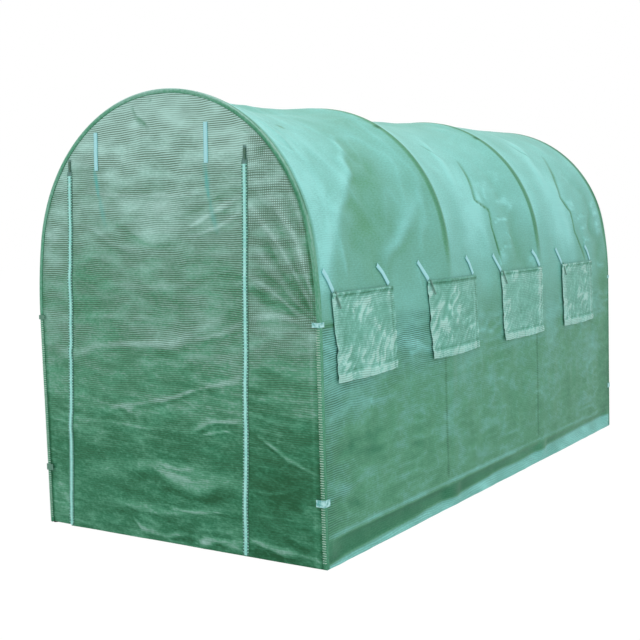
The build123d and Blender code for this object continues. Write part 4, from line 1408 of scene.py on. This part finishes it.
def make_hems(material):
    """The doubled foot of each end panel."""
    spans = (
        ("front_hem_left", -HEM_END, left_zip(0) - HEM_GAP, LEFT_STRIP_FOOT),
        ("front_hem_door", left_zip(0) + HEM_GAP, right_zip(0) - HEM_GAP, 0),
        ("front_hem_right", right_zip(0) + HEM_GAP, HEM_END, 0),
    )
    for name, start, end, foot in spans:
        hem = hem_strip(name, start, end, foot, front_points, front_paint, material)
        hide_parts("front_hem")
    hem = hem_strip("rear_hem_fold", -HEM_END, HEM_END, 0, rear_points, rear_paint, material)
    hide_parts("rear_hem")


def hem_strip(name, start, end, foot, place, paint, material):
    """One run of a hem, just in front of its panel."""
    rows = foot + spaced([0.001, HEM], 0.010)
    if place is front_points:
        rows = rows[::-1]
    x, z = np.meshgrid(spaced([start, end], 0.014), rows)
    painted = paint(x, z)
    painted["tone"] = painted["tone"] - 0.02
    grid = place(x, z, 0.0016)
    patch = (grid, np.stack([x, z], axis=-1), whole(x), painted)
    piece, _ = cloth(name, [patch], material)
    return piece


def dress_frame_nodes(materials):
    """Give the carried-over parts of the frame their finishes."""
    for name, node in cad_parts.items():
        if name.startswith("arch_") and name != "arch_sleeves":
            finish = materials["steel"]
        elif "purlin" in name or "rail" in name and "fittings" not in name or "legs" in name:
            finish = materials["steel"]
        elif name == "leg_feet":
            finish = materials["rubber"]
        elif name == "corner_clips":
            finish = materials["clip"]
        elif name == "zip_sliders":
            finish = materials["slider"]
        elif name in ("arch_sleeves", "side_clamps", "ridge_clamps", "rail_fittings"):
            finish = materials["fitting"]
        else:
            continue
        node.data.materials.clear()
        node.data.materials.append(finish)


# Camera, where the photograph was taken from
CAMERA_PLACE = Vector((3.174, -5.335, 1.395))
CAMERA_YAW = radians(-33.46)
CAMERA_PITCH = radians(4.96)
CAMERA_ROLL = radians(1.75)
FOCAL_PIXELS = 1087
PICTURE_PIXELS = 640
SENSOR = 36


def make_camera():
    """The camera at the photograph's place and angle."""
    forward = Vector((
        sin(CAMERA_YAW) * cos(CAMERA_PITCH), cos(CAMERA_YAW) * cos(CAMERA_PITCH), -sin(CAMERA_PITCH)
    ))
    level_right = Vector((cos(CAMERA_YAW), -sin(CAMERA_YAW), 0))
    level_down = forward.cross(level_right)
    right = level_right * cos(CAMERA_ROLL) + level_down * sin(CAMERA_ROLL)
    down = level_down * cos(CAMERA_ROLL) - level_right * sin(CAMERA_ROLL)
    data = bpy.data.cameras.new("view")
    data.sensor_width = SENSOR
    data.lens = SENSOR * FOCAL_PIXELS / PICTURE_PIXELS
    data.clip_end = 100
    camera = bpy.data.objects.new("view", data)
    bpy.context.scene.collection.objects.link(camera)
    turn = Matrix((right, -down, -forward)).transposed().to_4x4()
    camera.matrix_world = Matrix.Translation(CAMERA_PLACE) @ turn
    bpy.context.scene.camera = camera


def seen_directly(tree):
    """1 for rays that show the background itself, mirrored or through a clear part."""
    path = tree.nodes.new("ShaderNodeLightPath")
    glossy = math_node(tree, "MAXIMUM", path.outputs["Is Camera Ray"], path.outputs["Is Glossy Ray"])
    return math_node(tree, "MAXIMUM", glossy, path.outputs["Is Transmission Ray"])


FLOOR_SIZE = 60
FLOOR_WHITE = (0.9, 0.9, 0.9, 1)
FLOOR_GLOW = 0.97
GLOW_STRENGTH = 1.02
WORLD_LIGHT = 0.62


def make_studio():
    """A white floor and world, and large soft lamps."""
    bpy.ops.object.select_all(action="DESELECT")
    bpy.ops.mesh.primitive_plane_add(size=FLOOR_SIZE)
    floor = bpy.context.object
    floor.name = "floor"
    material = bpy.data.materials.new("floor_white")
    material.use_nodes = True
    tree = material.node_tree
    tree.nodes.clear()
    output = tree.nodes.new("ShaderNodeOutputMaterial")
    matt = tree.nodes.new("ShaderNodeBsdfDiffuse")
    matt.inputs[0].default_value = FLOOR_WHITE
    glow = tree.nodes.new("ShaderNodeEmission")
    glow.inputs["Strength"].default_value = GLOW_STRENGTH
    mix = tree.nodes.new("ShaderNodeMixShader")
    share = math_node(tree, "MULTIPLY", seen_directly(tree), FLOOR_GLOW)
    tree.links.new(share, mix.inputs[0])
    tree.links.new(matt.outputs[0], mix.inputs[1])
    tree.links.new(glow.outputs[0], mix.inputs[2])
    tree.links.new(mix.outputs[0], output.inputs[0])
    floor.data.materials.append(material)

    world = bpy.data.worlds.new("studio")
    world.use_nodes = True
    bpy.context.scene.world = world
    tree = world.node_tree
    tree.nodes.clear()
    output = tree.nodes.new("ShaderNodeOutputWorld")
    back = tree.nodes.new("ShaderNodeBackground")
    back.inputs["Color"].default_value = (1, 1, 1, 1)
    gain = math_node(tree, "MULTIPLY", seen_directly(tree), 1 - WORLD_LIGHT)
    tree.links.new(math_node(tree, "ADD", gain, WORLD_LIGHT), back.inputs["Strength"])
    tree.links.new(back.outputs[0], output.inputs[0])

    lamps = (
        ("overhead", (1.0, -0.5, 6.0), (0.2, 0.2, 0.8), 5.0, 95),
        ("right_front", (6.0, -4.5, 3.2), (0.2, 0.0, 0.9), 3.5, 55),
        ("left_front", (-4.5, -5.5, 3.5), (0.0, -1.0, 0.9), 3.5, 60),
    )
    for name, place, target, size, power in lamps:
        data = bpy.data.lights.new(name, "AREA")
        data.size = size
        data.energy = power
        lamp = bpy.data.objects.new(name, data)
        bpy.context.scene.collection.objects.link(lamp)
        lamp.location = place
        lamp.rotation_euler = (Vector(target) - Vector(place)).to_track_quat("-Z", "Y").to_euler()


def main():
    """Build the whole scene round the frame."""
    bpy.context.scene.view_settings.view_transform = "Standard"
    make_camera()
    make_studio()
    cover = weave_material("cover_weave", COVER_STOPS, colour(44, 98, 76), 0.34)
    end = weave_material("end_weave", END_STOPS, colour(58, 80, 50), 0.46)
    flap = weave_material("flap_weave", FLAP_STOPS, colour(58, 108, 78), 0.20)
    strap = webbing_material("pale_webbing", colour(174, 236, 240), colour(120, 204, 210))
    tie = webbing_material("green_webbing", colour(70, 132, 104), colour(44, 96, 72))
    tape = webbing_material("zip_tape_cloth", colour(40, 96, 76), colour(48, 108, 84))
    plain = {kind: plain_material(*values) for kind, values in PLAIN_FINISHES.items()}
    make_cover_bays(cover)
    make_front(end)
    make_rear(end)
    make_edge_roll("front_edge_roll", FRONT, -1, end, "front_welt")
    make_edge_roll("rear_edge_roll", REAR, 1, end, "rear_welt")
    make_zips(tape, plain["coil"], plain["tooth"])
    make_door_straps(strap)
    make_hems(end)
    make_corner_stitches(plain["thread"])
    make_windows(flap, screen_material(), strap, tie)
    dress_frame_nodes({**plain, "clip": clip_material()})


main()
